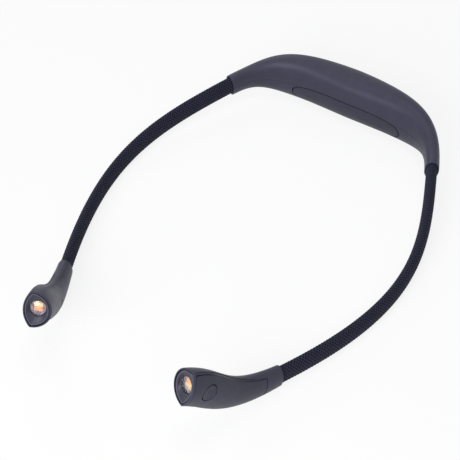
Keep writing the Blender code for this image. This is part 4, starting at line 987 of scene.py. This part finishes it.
def port_cuts():
    """The port's flat and slot in the housing's back, and the hole of the indicator's pipe."""
    y, z = PORT_PLACE[1:]
    front, half_w, half_h = y + 4 * MM, PORT_FLAT[0] / 2, PORT_FLAT[1] / 2
    slot = port_slot(PORT_WIDTH + 2 * FIT_GAP, PORT_HEIGHT + 2 * FIT_GAP, y - 8 * MM, front)
    flat = box("port_flat", (-half_w, y, z - half_h), (half_w, front, z + half_h))
    backwards = np.array([[-1.0, 0, 0], [0, 0, 1.0], [0, 1.0, 0]])
    hole = INDICATOR_DIAMETER / 2 + FIT_GAP
    profile = [(0, 4 * MM), (hole, 4 * MM), (hole, -6 * MM), (0, -6 * MM)]
    return slot, flat, turned("pipe_hole", profile, PORT_PLACE - UP * INDICATOR_DROP, backwards, 32)


def build_housing():
    """Upper and lower shell, parted at the seam, with screw bosses in both and ribs in the lower."""
    shell = plastic("soft matte shell", colours().shell)
    upper = half_shell(HOUSING_MID + SEAM_GAP / 2, BEYOND, bosses(), shell_cuts())
    add_piece("upper_shell", upper, shell, "housing", ["housing_upper_shell"])
    ribs = []
    for _, side in SIDES:
        x, y, (across, along) = side * RIB_X, HOUSING_CURVE[0][1], RIB_HALF
        rib = box("rib", (x - across, y - along, -MM), (x + across, y + along, RIB_TOP))
        ribs.append(("UNION", rib))
    lower = half_shell(0.0, HOUSING_MID - SEAM_GAP / 2, carve(bosses(), *ribs), [*shell_cuts(), *port_cuts()])
    add_piece("lower_shell", lower, shell, "housing", ["housing_lower_shell"])


def build_pad():
    """Rubber pad in its recess on the neck side, with a quarter-round edge."""
    mesh = pad_plate("pad_plate", 0.0, PAD_PROUD, PAD_THICKNESS, PAD_EDGE)
    add_piece("pad", mesh, rubber("neck pad rubber", colours().pad), "housing", ["neck_pad"])


def build_fasteners():
    """Housing screws with a rounded head and a six-sided socket."""
    steel = metal("black steel", (0.10, 0.10, 0.11), 0.4)
    low, head, shank = SCREW_SINK, SCREW_HEAD_DIAMETER / 2, SCREW_SHANK_RADIUS
    top, deep = low + SCREW_HEAD_HEIGHT, low + SOCKET_DEPTH
    profile = [(0, SCREW_TOP), (SCREW_TIP_RADIUS, SCREW_TOP), (shank, SCREW_TOP - 0.3 * MM), (shank, top),
               (head, top), (head, low + 0.4 * MM), (head - 0.12 * MM, low + 0.12 * MM),
               (head - 0.4 * MM, low), (0, low)]
    socket = [(0, deep), (shank, deep), (shank, -MM), (0, -MM)]

    def screw(side):
        place = screw_place(side)
        return carve(turned("screw", profile, place, WORLD_AXES, 40),
                     turned("socket", socket, place, WORLD_AXES, 6))

    add_pairs(("screw", screw, steel, "screw_steel", "housing_screw"), body="housing")


# Arms

def braid_height(along, turn, strands):
    """Height of a plain braid, 0 in the gaps and 1 on the strands.

    a and b count strands along the two diagonals. Each strand is a cosine across its width,
    and rises and dips as a cosine along its length, out of step with its neighbour, so that
    the strands of one diagonal pass over and under those of the other in turn.
    """
    a, b = along + strands * turn, along - strands * turn
    ia, ib = np.round(a), np.round(b)
    over = 0.6 * np.cos(math.pi * (a - ia)) + 0.4 * np.cos(math.pi * (b + ia))
    under = 0.6 * np.cos(math.pi * (b - ib)) - 0.4 * np.cos(math.pi * (a + ib))
    return np.maximum(over, under)


def sleeve_mesh(name, start, end, side):
    """A braided oval tube: the ellipse evenly spaced by arc length, swelled by the braid."""
    size = sizes()
    fine = np.linspace(0, 2 * math.pi, 2001)
    wide, tall = SLEEVE_THICKNESS / 2, SLEEVE_HEIGHT / 2
    run = run_along(np.stack([wide * np.cos(fine), tall * np.sin(fine)], -1))
    columns = size.sleeve_strands * BRAID_STEPS
    turn = np.arange(columns) / columns
    angle = np.interp(turn * run[-1], run, fine)
    rows = max(BRAID_STEPS, int((end - start) / (size.sleeve_pitch / BRAID_STEPS)))
    distance = np.linspace(start, end, rows)
    height = braid_height(distance[:, None] / size.sleeve_pitch, turn, size.sleeve_strands)
    place, _, away, up = route_frame(distance)
    normal = unit(np.stack([np.cos(angle) / wide, np.sin(angle) / tall], -1))
    swell = size.sleeve_relief * (height - BRAID_CROWN)
    x = wide * np.cos(angle) + normal[:, 0] * swell
    z = tall * np.sin(angle) + normal[:, 1] * swell
    rings = set_out(place[:, None], (away[:, None], up[:, None]), x, z)
    mesh = tube(name, rings, side, weld=False)
    add_attribute(mesh, "relief", height)
    corner = np.empty(len(mesh.loops), np.int32)
    mesh.loops.foreach_get("vertex_index", corner)
    wrap = np.stack([distance[corner // columns], corner % columns / columns * run[-1]], -1)
    mesh.uv_layers.new(name="weave").data.foreach_set("uv", wrap.astype(np.float32).ravel())
    return mesh


def core_mesh(name, start, end, side):
    """The wound steel gooseneck: a round tube whose radius dips between its turns."""
    distance = np.arange(start, end, CORE_STEP)
    radius = CORE_DIAMETER / 2 - CORE_DIP * (1 - np.abs(np.sin(math.pi * distance / CORE_PITCH)))
    place, _, away, up = route_frame(distance)
    angle = turn_angles(16)
    rings = set_out(place[:, None], (away[:, None], up[:, None]),
                    radius[:, None] * np.cos(angle), radius[:, None] * np.sin(angle))
    return tube(name, rings, side)


def build_over_bends(kind, make, material, entry):
    """One piece over each bending point of both arms, in the place of the CAD nodes that it joins."""
    for label, side in SIDES:
        for before, after, nodes, (start, end), bend in BENDS:
            first = -entry if start is None else start * MM
            last = ARM_LENGTH + entry if end is None else end * MM
            name = "%s_%s_%s" % (label, kind, nodes[1])
            mesh = make(name, first, last, side)
            replaced = ["%s_%s_%s" % (label, kind, node) for node in nodes]
            piece = add_piece(name + "_bend", mesh, material, nodes=replaced, sharp=SHARP_ON_ARM)
            place = route_frame(np.array(bend) * MM)[0] * np.array([side, 1, 1])
            tuple(place[0])
            tuple(place[1])
            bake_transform(piece)


def build_sleeves():
    """Braided sleeves, each going into the collars at its ends."""
    look = yarn("braided yarn", colours().sleeve)
    build_over_bends("sleeve", sleeve_mesh, look, SLEEVE_ENTRY)


def build_cores():
    """Wound steel goosenecks, each going into the ferrules at its ends."""
    steel = metal("wound steel", (0.42, 0.42, 0.43), 0.35)
    build_over_bends("gooseneck", core_mesh, steel, CORE_ENTRY)


# Heads

def cover_arch(share):
    """Half a sine along the cover."""
    return np.sin(math.pi * np.clip((share - COVER_START) / (COVER_END - COVER_START), 0, 1))


def cover_rows(grow=0.0):
    """Shares along the side cover, the half angle at each, and the distance to the nearer end.

    The half angle is a share of the angle to the leaf's corner, plus half a sine along the
    cover, less a quarter round at its corners.
    """
    share = np.linspace(COVER_START, COVER_END, 400)
    run = run_along(bezier(HEAD_CURVE, share))
    length = run[-1] + 2 * grow
    near = COVER_CORNER * np.array([0.0, 0.02, 0.08, 0.17, 0.3, 0.45, 0.62, 0.8, 1.0])
    spots = np.concatenate([from_edges(length, EDGE_ROUNDING + grow, 60), near, length - near])
    spots = np.unique(np.round(spots, 8))
    first, last = np.diff(share)[0] / np.diff(run)[0], np.diff(share)[-1] / np.diff(run)[-1]
    inside = np.interp(spots - grow, run, share)
    inside = inside + np.minimum(spots - grow, 0) * first + np.maximum(spots - grow - run[-1], 0) * last
    to_end = np.minimum(spots, length - spots)
    half = corner_angle() * COVER_EDGE + COVER_ARCH * cover_arch(inside)
    return inside, half + (grow - rounding(to_end, COVER_CORNER)) / HEAD_RADIUS, to_end


def cover_plate(name, grow, front, back, edge, side):
    """A plate on the outer side of the head's skin between two insets, with a rounded edge."""
    share, half, to_end = cover_rows(grow)
    reach = (HEAD_RADIUS * half)[:, None]
    near = edge * QUARTER if edge else np.zeros(1)
    inner = (reach - 1.4 * edge) * np.linspace(-0.98, 0.98, 28)
    offset = np.concatenate([near - reach, inner, (reach - near)[:, ::-1]], axis=1)
    to_side = reach - np.abs(offset)
    drawn = rounding(np.minimum(to_side, to_end[:, None]), edge) if edge else 0.0
    angle = offset / HEAD_RADIUS
    along = share[:, None]
    return patch(name, head_skin(along, angle, front + drawn), head_skin(along, angle, back), side)


def button_frame():
    """A point on the skin over the button's middle, and the directions behind, up and outwards."""
    centre, away, up, ahead = head_frame(BUTTON_SHARE)
    angle = math.atan2(BUTTON_RAISE, (FACE_INNER_BULGE + FACE_OUTER_BULGE) / 2)
    skin = head_skin(BUTTON_SHARE, angle)
    return centre + up * BUTTON_RAISE + away * np.dot(skin - centre, away), np.array([-ahead, up, away])


def ledge(side):
    """The cutter of a shallow step along the cover's upper edge, widest at the head's middle."""
    share = np.linspace(COVER_START, COVER_END, 90)
    low, full = LEDGE_START
    narrowed = low + (1 - low) * np.clip((share - COVER_START) / full, 0, 1)
    width = narrowed * (LEDGE_WIDTH[0] + LEDGE_WIDTH[1] * cover_arch(share))
    top = corner_angle() * COVER_EDGE + COVER_ARCH * cover_arch(share) + (FIT_GAP + width) / HEAD_RADIUS
    angle, along = top[:, None] - np.linspace(0, 0.4, 14), share[:, None]
    return patch("ledge", head_skin(along, angle, -2 * MM), head_skin(along, angle, LEDGE_DEPTH), side)


def around_button(radius, angle):
    """Points of the head's skin at a radius and angle round the button's axis."""
    place, axes = button_frame()
    x, y = np.broadcast_arrays(radius * np.cos(angle), radius * np.sin(angle))
    guess = np.full(x.shape, BUTTON_SHARE), np.full(x.shape, 0.2)
    return solve_on(head_skin, guess, place, axes[0], axes[1], x, y)[2]


def head_body(side):
    """The head's outer skin as a solid, with a quarter-round edge at its collar and face."""
    start_rate, front_rate = 3 * np.linalg.norm(HEAD_CURVE[1] - HEAD_CURVE[0]), end_rate(HEAD_CURVE)
    start, end = COLLAR_ROUNDING * QUARTER / start_rate, EDGE_ROUNDING * QUARTER / front_rate
    share = np.concatenate([start, np.linspace(start[-1] * 2, 1 - end[-1] * 2, 90), 1 - end[::-1]])
    inset = rounding(share * start_rate, COLLAR_ROUNDING) + rounding((1 - share) * front_rate, EDGE_ROUNDING)
    return tube("head_body", head_skin(share[:, None], head_angles(120), inset[:, None]), side)


def head_cavity(side):
    """The room inside the head, open at the face, where the wall thins."""
    share = np.append(np.linspace(HEAD_CAVITY_START, 1, 60), 1 + 4 * MM / end_rate(HEAD_CURVE))
    thinned = smooth(np.clip((share - WALL_THINS[0]) / (WALL_THINS[1] - WALL_THINS[0]), 0, 1))
    wall = HEAD_WALL - (HEAD_WALL - FACE_RIM) * thinned
    return tube("head_cavity", head_skin(share[:, None], head_angles(72), wall[:, None]), side)


def head_slot(side):
    """The cutter of the slot in the head's inner side."""
    centre, _, up, ahead = head_frame(SLOT_SHARE)
    inner = head_skin(SLOT_SHARE, math.pi)
    return box("slot", -SLOT_HALF, SLOT_HALF, inner, (ahead, up, unit(inner - centre)), side)


def head_mesh(side):
    """The head's skin, hollowed from the face, with the cover's window, pocket and slot."""
    window = cover_plate("window", FIT_GAP, -2 * MM, HEAD_WALL + 0.6 * MM, 0.0, side)
    return carve(head_body(side), head_cavity(side), ledge(side), window,
                 *collar_cuts(side, ARM_LENGTH, 1), head_slot(side))


def build_head_shells():
    """The shell of each head, moulded in the housing's plastic."""
    shell = plastic("soft matte shell", colours().shell)
    add_pairs(("head", head_mesh, shell, "charcoal_shell", "head_shell"))


def button_hole(side):
    """The cutter of the button's hole, widened by a quarter round where it meets the skin."""
    place, axes = button_frame()
    hole = BUTTON_DIAMETER / 2 + FIT_GAP
    angle = turn_angles(96)
    eased = HOLE_ROUNDING * QUARTER[:-1, None]
    lip = around_button(hole + eased, angle) - rounding(eased, HOLE_ROUNDING)[..., None] * axes[2]
    wide = around_button(hole + HOLE_ROUNDING, angle)

    def ring(radius, height):
        return set_out(place + height * axes[2], axes, radius * np.cos(angle), radius * np.sin(angle))

    rings = [ring(PIN, -4 * MM), ring(hole, -4 * MM), *lip, wide + 0.05 * MM * axes[2],
             wide + 2 * MM * axes[2], ring(PIN, 3 * MM)]
    return tube("button_hole", np.array(rings), side)


def cover_mesh(side):
    """A plate that follows the head's skin, with an eased hole for the button."""
    return carve(cover_plate("cover", 0.0, 0.0, HEAD_WALL, EDGE_ROUNDING, side), button_hole(side))


def build_covers():
    """The cover on the outer side of each head."""
    look = plastic("soft matte cover", colours().cover, 0.5)
    add_pairs(("cover", cover_mesh, look, "side_cover", "side_cover"))


def power_mark(x, y):
    """Depth share of the engraved mark: a ring open at its top and a bar in the opening."""
    def line(distance, half):
        return np.clip(1.5 - np.abs(distance) / half, 0, 1)

    opening = np.clip((np.abs(np.arctan2(x, y)) - 0.5) * 8, 0, 1)
    ring = line(np.hypot(x, y) - MARK_RADIUS, MARK_LINE) * opening
    return np.maximum(ring, line(x, MARK_LINE) * line(y - MARK_BAR[0], MARK_BAR[1]))


def build_buttons():
    """Push buttons: a dished cap that follows the head's side, on a flange and a stem."""
    look = plastic("soft matte cover", colours().cover, 0.5)
    place, axes = button_frame()
    radius, edge, angle = BUTTON_DIAMETER / 2, BUTTON_EDGE, turn_angles(128)
    ring = np.concatenate([np.linspace(2 * PIN, radius - edge * 1.3, 44), radius - edge * QUARTER[::-1]])
    x, y = ring[:, None] * np.cos(angle), ring[:, None] * np.sin(angle)
    dish = sizes().button_dish * np.clip(1 - (ring / (radius * 0.86)) ** 2, 0, 1)[:, None]
    drop = dish + rounding(radius - ring, edge)[:, None] + MARK_DEPTH * power_mark(-x, y)
    top = around_button(ring[:, None], angle) - axes[2] * drop[..., None]
    flange, low = BUTTON_FLANGE_DIAMETER / 2, -BUTTON_DEPTH - BUTTON_FLANGE_THICKNESS
    stem, tip = BUTTON_STEM[0], low - BUTTON_STEM[1]
    under = spun([(radius, -BUTTON_DEPTH), (flange, -BUTTON_DEPTH), (flange, low), (stem, low),
                  (stem, tip), (2 * PIN, tip)], place, axes, len(angle))

    def button(side):
        return tube("push_button", np.concatenate([top, under]), side)

    add_pairs(("push_button", button, look, "button", "button"), body="button_cap")


def face_frame():
    """Centre of the face, and the directions away, up the raked plane, and out of it."""
    centre, away, up, ahead = head_frame(1.0)
    in_plane = unit(up + ahead * FACE_RAKE)
    return centre, np.array([away, in_plane, unit(np.cross(away, in_plane))])


def build_bezels():
    """Face bezels: for each angle, one loop over the plate, down the lens bore and back.

    The loop's outer points follow the leaf drawn in, its inner ones are circles, and those
    between pass from one to the other. The plate's back follows the head's own direction.
    """
    # The bezel's plastic carries a painted highlight along its lip
    look = highlight_plastic("satin bezel", colours().bezel, 0.4, 0.3)
    centre, axes = face_frame()
    ahead = head_frame(1.0)[3]
    back = ahead / np.dot(ahead, axes[2])
    angle = head_angles(144)
    gap, front, seat_end = FACE_RIM + 0.1 * MM, BEZEL_RECESS, LENS_SEAT + LENS_SEAT_DEPTH
    mouth, bore, barrel = MOUTH_DIAMETER / 2, BARREL_BORE / 2, BARREL_DIAMETER / 2
    groove = GROOVE_WIDTH[0] + (GROOVE_WIDTH[1] - GROOVE_WIDTH[0]) * (1 - np.cos(angle)) / 2
    lip = groove + LIP_WIDTH

    def leaf(inset):
        return leaf_radius(angle, gap + inset)

    def between(share):
        outer, inner = leaf(lip + 0.5 * MM), mouth + 0.1 * MM
        return outer * (1 - share) + inner * share, front + DISH * (0.45 + 0.55 * share)

    border = [(leaf(0.0), BEZEL_SKIRT), (leaf(0.0), GROOVE_DEPTH), (leaf(groove), GROOVE_DEPTH)]
    border += [(leaf(groove + LIP_WIDTH * across), front + LIP_WIDTH * down) for across, down in LIP_STEPS]
    plate = [(leaf(lip + 0.12 * MM), front + 0.36 * DISH)]
    plate += [between(share) for share in (0.0, 0.25, 0.5, 0.75, 0.94, 1.0)]
    plate += [(mouth, front + DISH + 0.12 * MM), (bore + 0.04 * MM, front + DISH + 0.3 * MM),
              (bore, front + DISH + 0.5 * MM), (bore, LENS_SEAT), (bore - LENS_SEAT_WIDTH, LENS_SEAT),
              (bore - LENS_SEAT_WIDTH, seat_end), (bore, seat_end), (bore, BARREL_DEPTH),
              (barrel, BARREL_DEPTH)]
    rear = [(barrel, BEZEL_BACK), (leaf(0.6 * MM), BEZEL_BACK), (leaf(0.6 * MM), BEZEL_SKIRT)]
    points = []
    for rings, inwards in ((border, back), (plate, axes[2]), (rear, back)):
        for radius, depth in rings:
            points.append(set_out(centre, (*axes[:2], inwards),
                                  radius * np.cos(angle), radius * np.sin(angle), -depth))
    faces = grid_faces(len(points), len(angle), True, True)
    # Paler plastic on the lip's outer rings: a painted highlight where the rounded lip would catch the light
    painted_highlight = np.zeros(len(points))
    painted_highlight[len(border) - len(LIP_HIGHLIGHT):len(border)] = LIP_HIGHLIGHT

    def bezel(side):
        mesh = make_mesh("bezel", points, faces, side, weld=False)
        add_attribute(mesh, "lip_highlight", np.repeat(painted_highlight, len(angle)))
        return mesh

    add_pairs(("bezel", bezel, look, "face_bezel", "face_bezel"))


def led_mesh(offset, centre, axes, side):
    """A gel pad: superellipse rings that shrink over a quarter-round edge and swell in the middle."""
    half_w, half_h = LED_HALF
    rows = [(0.0, LED_BACK), (0.0, LED_FRONT + LED_EDGE)]
    rows += [(LED_EDGE * q, LED_FRONT + rounding(LED_EDGE * q, LED_EDGE)) for q in (0.1, 0.3, 0.6, 1.0)]
    rows += [(half_h * q, LED_FRONT - LED_SWELL * q) for q in (0.5, 0.75, 0.97)]
    x, y = superellipse(64, LED_SQUARENESS)
    rings = [set_out(centre, axes, x * (half_w - inset), y * (half_h - inset) + offset, -depth)
             for inset, depth in rows]
    return tube("led", np.array(rings), side)


def build_lamps():
    """Lens, reflector ring and the two LED pads of each head."""
    look = colours()
    glass = clear("lens polycarbonate", (0.93, 0.91, 0.95), 0.2, 1.0)
    bowl = plastic("reflector grey", look.reflector, 0.35, 0.1)
    centre, axes = face_frame()
    radius, swell = LENS_DIAMETER / 2, sizes().lens_dome
    over = [(radius * s, -LENS_EDGE + swell * (1 - s * s)) for s in LENS_STEPS]
    under = [(r * (1 - LENS_WALL / radius), h - LENS_WALL) for r, h in over]
    lens = [(PIN, swell - LENS_EDGE), *over[::-1], (radius, -LENS_EDGE - LENS_WALL), *under,
            (PIN, swell - LENS_EDGE - LENS_WALL)]
    top, low = LENS_SEAT + LENS_SEAT_DEPTH + 0.05 * MM, LED_BACK - 0.02 * MM
    edge, mouth, middle, neck, hole = CUP_RADII
    cup = [(edge, -top), (edge, -low), (hole, -low), (hole, -LED_FRONT - 0.5 * MM),
           (neck, -LED_FRONT - 0.2 * MM), (middle, -LED_FRONT + 0.05 * MM), (mouth, -top)]
    sides = 72

    def dome(side):
        return turned("lens", lens, centre, axes, sides, side)

    def reflector(side):
        faces = grid_faces(len(cup), sides, True, True)
        return make_mesh("reflector", spun(cup, centre, axes, sides), faces, side)

    def pad(kind, turn, tone):
        return (kind + "_pad", lambda side: led_mesh(turn * side * LED_OFFSET, centre, axes, side),
                phosphor(kind + " phosphor", tone, look.led_painted_glow), "led_" + kind, "led_" + kind)

    add_pairs(("lens_dome", dome, glass, "lens", "lens"), ("reflector", reflector, bowl, "face_bezel", None),
              pad("cool", -1, look.cool_led), pad("warm", 1, look.warm_led))


def finish_inner_nodes():
    """Finishes for the CAD nodes that stay: boards, cell, port, ferrules, leads and switches."""
    green = circuit("green solder resist", (0.02, 0.13, 0.06))
    finishes = (
        ("battery_cell", metal("cell foil", (0.46, 0.47, 0.50), 0.38)),
        ("main_board", green),
        ("switch_board", green),
        ("led_board", circuit("white solder resist", (0.62, 0.63, 0.62))),
        ("usb_c_port", metal("port steel", (0.50, 0.50, 0.52), 0.25)),
        ("charge_indicator", clear("light pipe", (0.85, 0.86, 0.88), 0.15, 0.8)),
        ("ferrule", metal("ferrule brass", (0.55, 0.42, 0.20), 0.3)),
        ("lead", plastic("lead jacket", (0.30, 0.02, 0.02), 0.4)),
        ("tact_switch", metal("switch steel", (0.55, 0.55, 0.56), 0.3)),
    )
    for name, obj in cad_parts.items():
        for key, material in finishes:
            if key in name and not obj.hide_render:
                obj.data.materials.clear()
                obj.data.materials.append(material)


# Stage

def add_light(name, place, power):
    """A soft round light that points at the light's middle."""
    data = bpy.data.lights.new(name, "AREA")
    data.shape = "DISK"
    data.size = LIGHT_SIZE
    data.energy = power
    obj = bpy.data.objects.new(name, data)
    obj.location = place
    obj.rotation_euler = (Vector(LIGHT_TARGET) - Vector(place)).to_track_quat("-Z", "Y").to_euler()
    bpy.context.scene.collection.objects.link(obj)


def show_backdrop(output, lit, seen):
    """Give camera, glossy and transmission rays the shader seen, and light the shader lit."""
    rays = add_node(output, "ShaderNodeLightPath", {})
    share = rays.outputs["Is Camera Ray"]
    for name in ("Is Glossy Ray", "Is Transmission Ray"):
        either = add_node(output, "ShaderNodeMath", {})
        either.operation = "MAXIMUM"
        share = feed(either, {0: share, 1: rays.outputs[name]}).outputs[0]
    mix = add_node(output, "ShaderNodeMixShader", {"Fac": share, 1: lit.outputs[0], 2: seen.outputs[0]})
    feed(output, {"Surface": mix.outputs[0]})


def build_camera(scene):
    """The camera at the photograph's place."""
    camera = bpy.data.cameras.new("camera")
    camera.sensor_width = CAMERA_SENSOR
    camera.lens = CAMERA_LENS
    camera.clip_start, camera.clip_end = CAMERA_CLIP
    holder = bpy.data.objects.new("camera", camera)
    turn = Matrix(CAMERA_AXES).transposed().to_4x4()
    holder.matrix_world = Matrix.Translation(CAMERA_PLACE) @ turn
    scene.collection.objects.link(holder)
    scene.camera = holder


def build_world(scene):
    """A dim world for the light, which is plain white where it is seen."""
    world = bpy.data.worlds.new("studio")
    world.use_nodes = True
    scene.world = world
    nodes = world.node_tree.nodes
    plain = feed(nodes["Background"], {"Color": (0.93, 0.95, 1.0, 1.0), "Strength": 0.12})
    white = add_node(plain, "ShaderNodeBackground", {"Color": (1.0, 1.0, 1.0, 1.0), "Strength": 1.0})
    show_backdrop(nodes["World Output"], plain, white)


def build_floor(scene):
    """A pale floor that keeps the object's shadow and is nearly white where it is seen."""
    far = FLOOR_HALF
    corners = [(-far, -far, 0), (far, -far, 0), (far, far, 0), (-far, far, 0)]
    mesh = make_mesh("floor", corners, [[0, 1, 2, 3]], weld=False)
    floor = bpy.data.objects.new("floor", mesh)
    floor.location.z = -FLOOR_DROP
    scene.collection.objects.link(floor)
    material, nodes = new_material("pale floor")
    output = nodes["Material Output"]
    nodes.remove(nodes["Principled BSDF"])
    matt = add_node(output, "ShaderNodeBsdfDiffuse", {"Color": (0.8, 0.8, 0.8, 1.0)})
    seen = add_node(output, "ShaderNodeBsdfDiffuse", {"Color": (0.2, 0.2, 0.2, 1.0)})
    glow = add_node(output, "ShaderNodeEmission", {"Color": (1.0, 1.0, 1.0, 1.0), "Strength": 0.84})
    both = add_node(output, "ShaderNodeAddShader", {0: seen.outputs[0], 1: glow.outputs[0]})
    show_backdrop(output, matt, both)
    mesh.materials.append(material)


def build_stage():
    """Camera, world, floor and soft lights."""
    scene = bpy.context.scene
    build_camera(scene)
    scene.view_settings.view_transform = "Standard"
    build_world(scene)
    build_floor(scene)
    for name, place, share in LIGHTS:
        add_light(name, place, colours().key_power * share)


# Operators

class BuildStep:
    """What every build step shares."""
    bl_options = {"REGISTER", "UNDO"}


class READING_LIGHT_OT_stage(BuildStep, bpy.types.Operator):
    """Make the camera, the floor, the world and the lights."""
    bl_idname = "reading_light.stage"
    bl_label = "Stage"

    def execute(self, context):
        build_stage()
        return {"FINISHED"}


class READING_LIGHT_OT_housing(BuildStep, bpy.types.Operator):
    """Make the upper and lower shell."""
    bl_idname = "reading_light.housing"
    bl_label = "Housing shells"

    def execute(self, context):
        build_housing()
        return {"FINISHED"}


class READING_LIGHT_OT_pad(BuildStep, bpy.types.Operator):
    """Make the rubber pad on the neck side."""
    bl_idname = "reading_light.pad"
    bl_label = "Neck pad"

    def execute(self, context):
        build_pad()
        return {"FINISHED"}


class READING_LIGHT_OT_fasteners(BuildStep, bpy.types.Operator):
    """Make the housing screws."""
    bl_idname = "reading_light.fasteners"
    bl_label = "Screws"

    def execute(self, context):
        build_fasteners()
        return {"FINISHED"}


class READING_LIGHT_OT_sleeves(BuildStep, bpy.types.Operator):
    """Make the braided sleeves over the bending points."""
    bl_idname = "reading_light.sleeves"
    bl_label = "Sleeves"

    def execute(self, context):
        build_sleeves()
        return {"FINISHED"}


class READING_LIGHT_OT_cores(BuildStep, bpy.types.Operator):
    """Make the wound steel goosenecks."""
    bl_idname = "reading_light.cores"
    bl_label = "Goosenecks"

    def execute(self, context):
        build_cores()
        return {"FINISHED"}


class READING_LIGHT_OT_heads(BuildStep, bpy.types.Operator):
    """Make the shell of each head."""
    bl_idname = "reading_light.heads"
    bl_label = "Head shells"

    def execute(self, context):
        build_head_shells()
        return {"FINISHED"}


class READING_LIGHT_OT_covers(BuildStep, bpy.types.Operator):
    """Make the cover on the outer side of each head."""
    bl_idname = "reading_light.covers"
    bl_label = "Side covers"

    def execute(self, context):
        build_covers()
        return {"FINISHED"}


class READING_LIGHT_OT_buttons(BuildStep, bpy.types.Operator):
    """Make the push button in each side cover."""
    bl_idname = "reading_light.buttons"
    bl_label = "Buttons"

    def execute(self, context):
        build_buttons()
        return {"FINISHED"}


class READING_LIGHT_OT_bezels(BuildStep, bpy.types.Operator):
    """Make the plate round each lens."""
    bl_idname = "reading_light.bezels"
    bl_label = "Bezels"

    def execute(self, context):
        build_bezels()
        return {"FINISHED"}


class READING_LIGHT_OT_lamps(BuildStep, bpy.types.Operator):
    """Make the lenses, reflectors and LED pads."""
    bl_idname = "reading_light.lamps"
    bl_label = "Lamps"

    def execute(self, context):
        build_lamps()
        return {"FINISHED"}


class READING_LIGHT_OT_inner_finishes(BuildStep, bpy.types.Operator):
    """Give the CAD nodes that stay their finishes."""
    bl_idname = "reading_light.inner_finishes"
    bl_label = "Inner parts"

    def execute(self, context):
        finish_inner_nodes()
        return {"FINISHED"}


STEPS = (
    READING_LIGHT_OT_stage, READING_LIGHT_OT_housing,
    READING_LIGHT_OT_pad, READING_LIGHT_OT_fasteners,
    READING_LIGHT_OT_sleeves, READING_LIGHT_OT_cores,
    READING_LIGHT_OT_heads, READING_LIGHT_OT_covers,
    READING_LIGHT_OT_buttons, READING_LIGHT_OT_bezels,
    READING_LIGHT_OT_lamps, READING_LIGHT_OT_inner_finishes,
)


class READING_LIGHT_PT_panel(bpy.types.Panel):
    """Sizes, colours and build steps of the reading light."""
    bl_label = "Reading Light"
    bl_idname = "READING_LIGHT_PT_panel"
    bl_space_type = "VIEW_3D"
    bl_region_type = "UI"
    bl_category = "Reading Light"

    def draw(self, context):
        for group in (context.scene.reading_light_sizes, context.scene.reading_light_colours):
            for name in group.__annotations__:
                self.layout.prop(group, name)
        for step in STEPS:
            self.layout.operator(step.bl_idname)


CLASSES = (ReadingLightSizes, ReadingLightColours, *STEPS, READING_LIGHT_PT_panel)


def register():
    """Make the classes and their settings known to Blender."""
    for item in CLASSES:
        bpy.utils.register_class(item)
    bpy.types.Scene.reading_light_sizes = PointerProperty(type=ReadingLightSizes)
    bpy.types.Scene.reading_light_colours = PointerProperty(type=ReadingLightColours)


def unregister():
    """Take the classes and their settings back out of Blender."""
    del bpy.types.Scene.reading_light_sizes
    del bpy.types.Scene.reading_light_colours
    for item in reversed(CLASSES):
        bpy.utils.unregister_class(item)


def main():
    """Build everything in order."""
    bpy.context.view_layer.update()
    register()
    for step in STEPS:
        group, name = step.bl_idname.split(".")
        getattr(getattr(bpy.ops, group), name)()
    bpy.context.view_layer.update()


if __name__ == "__main__":
    main()
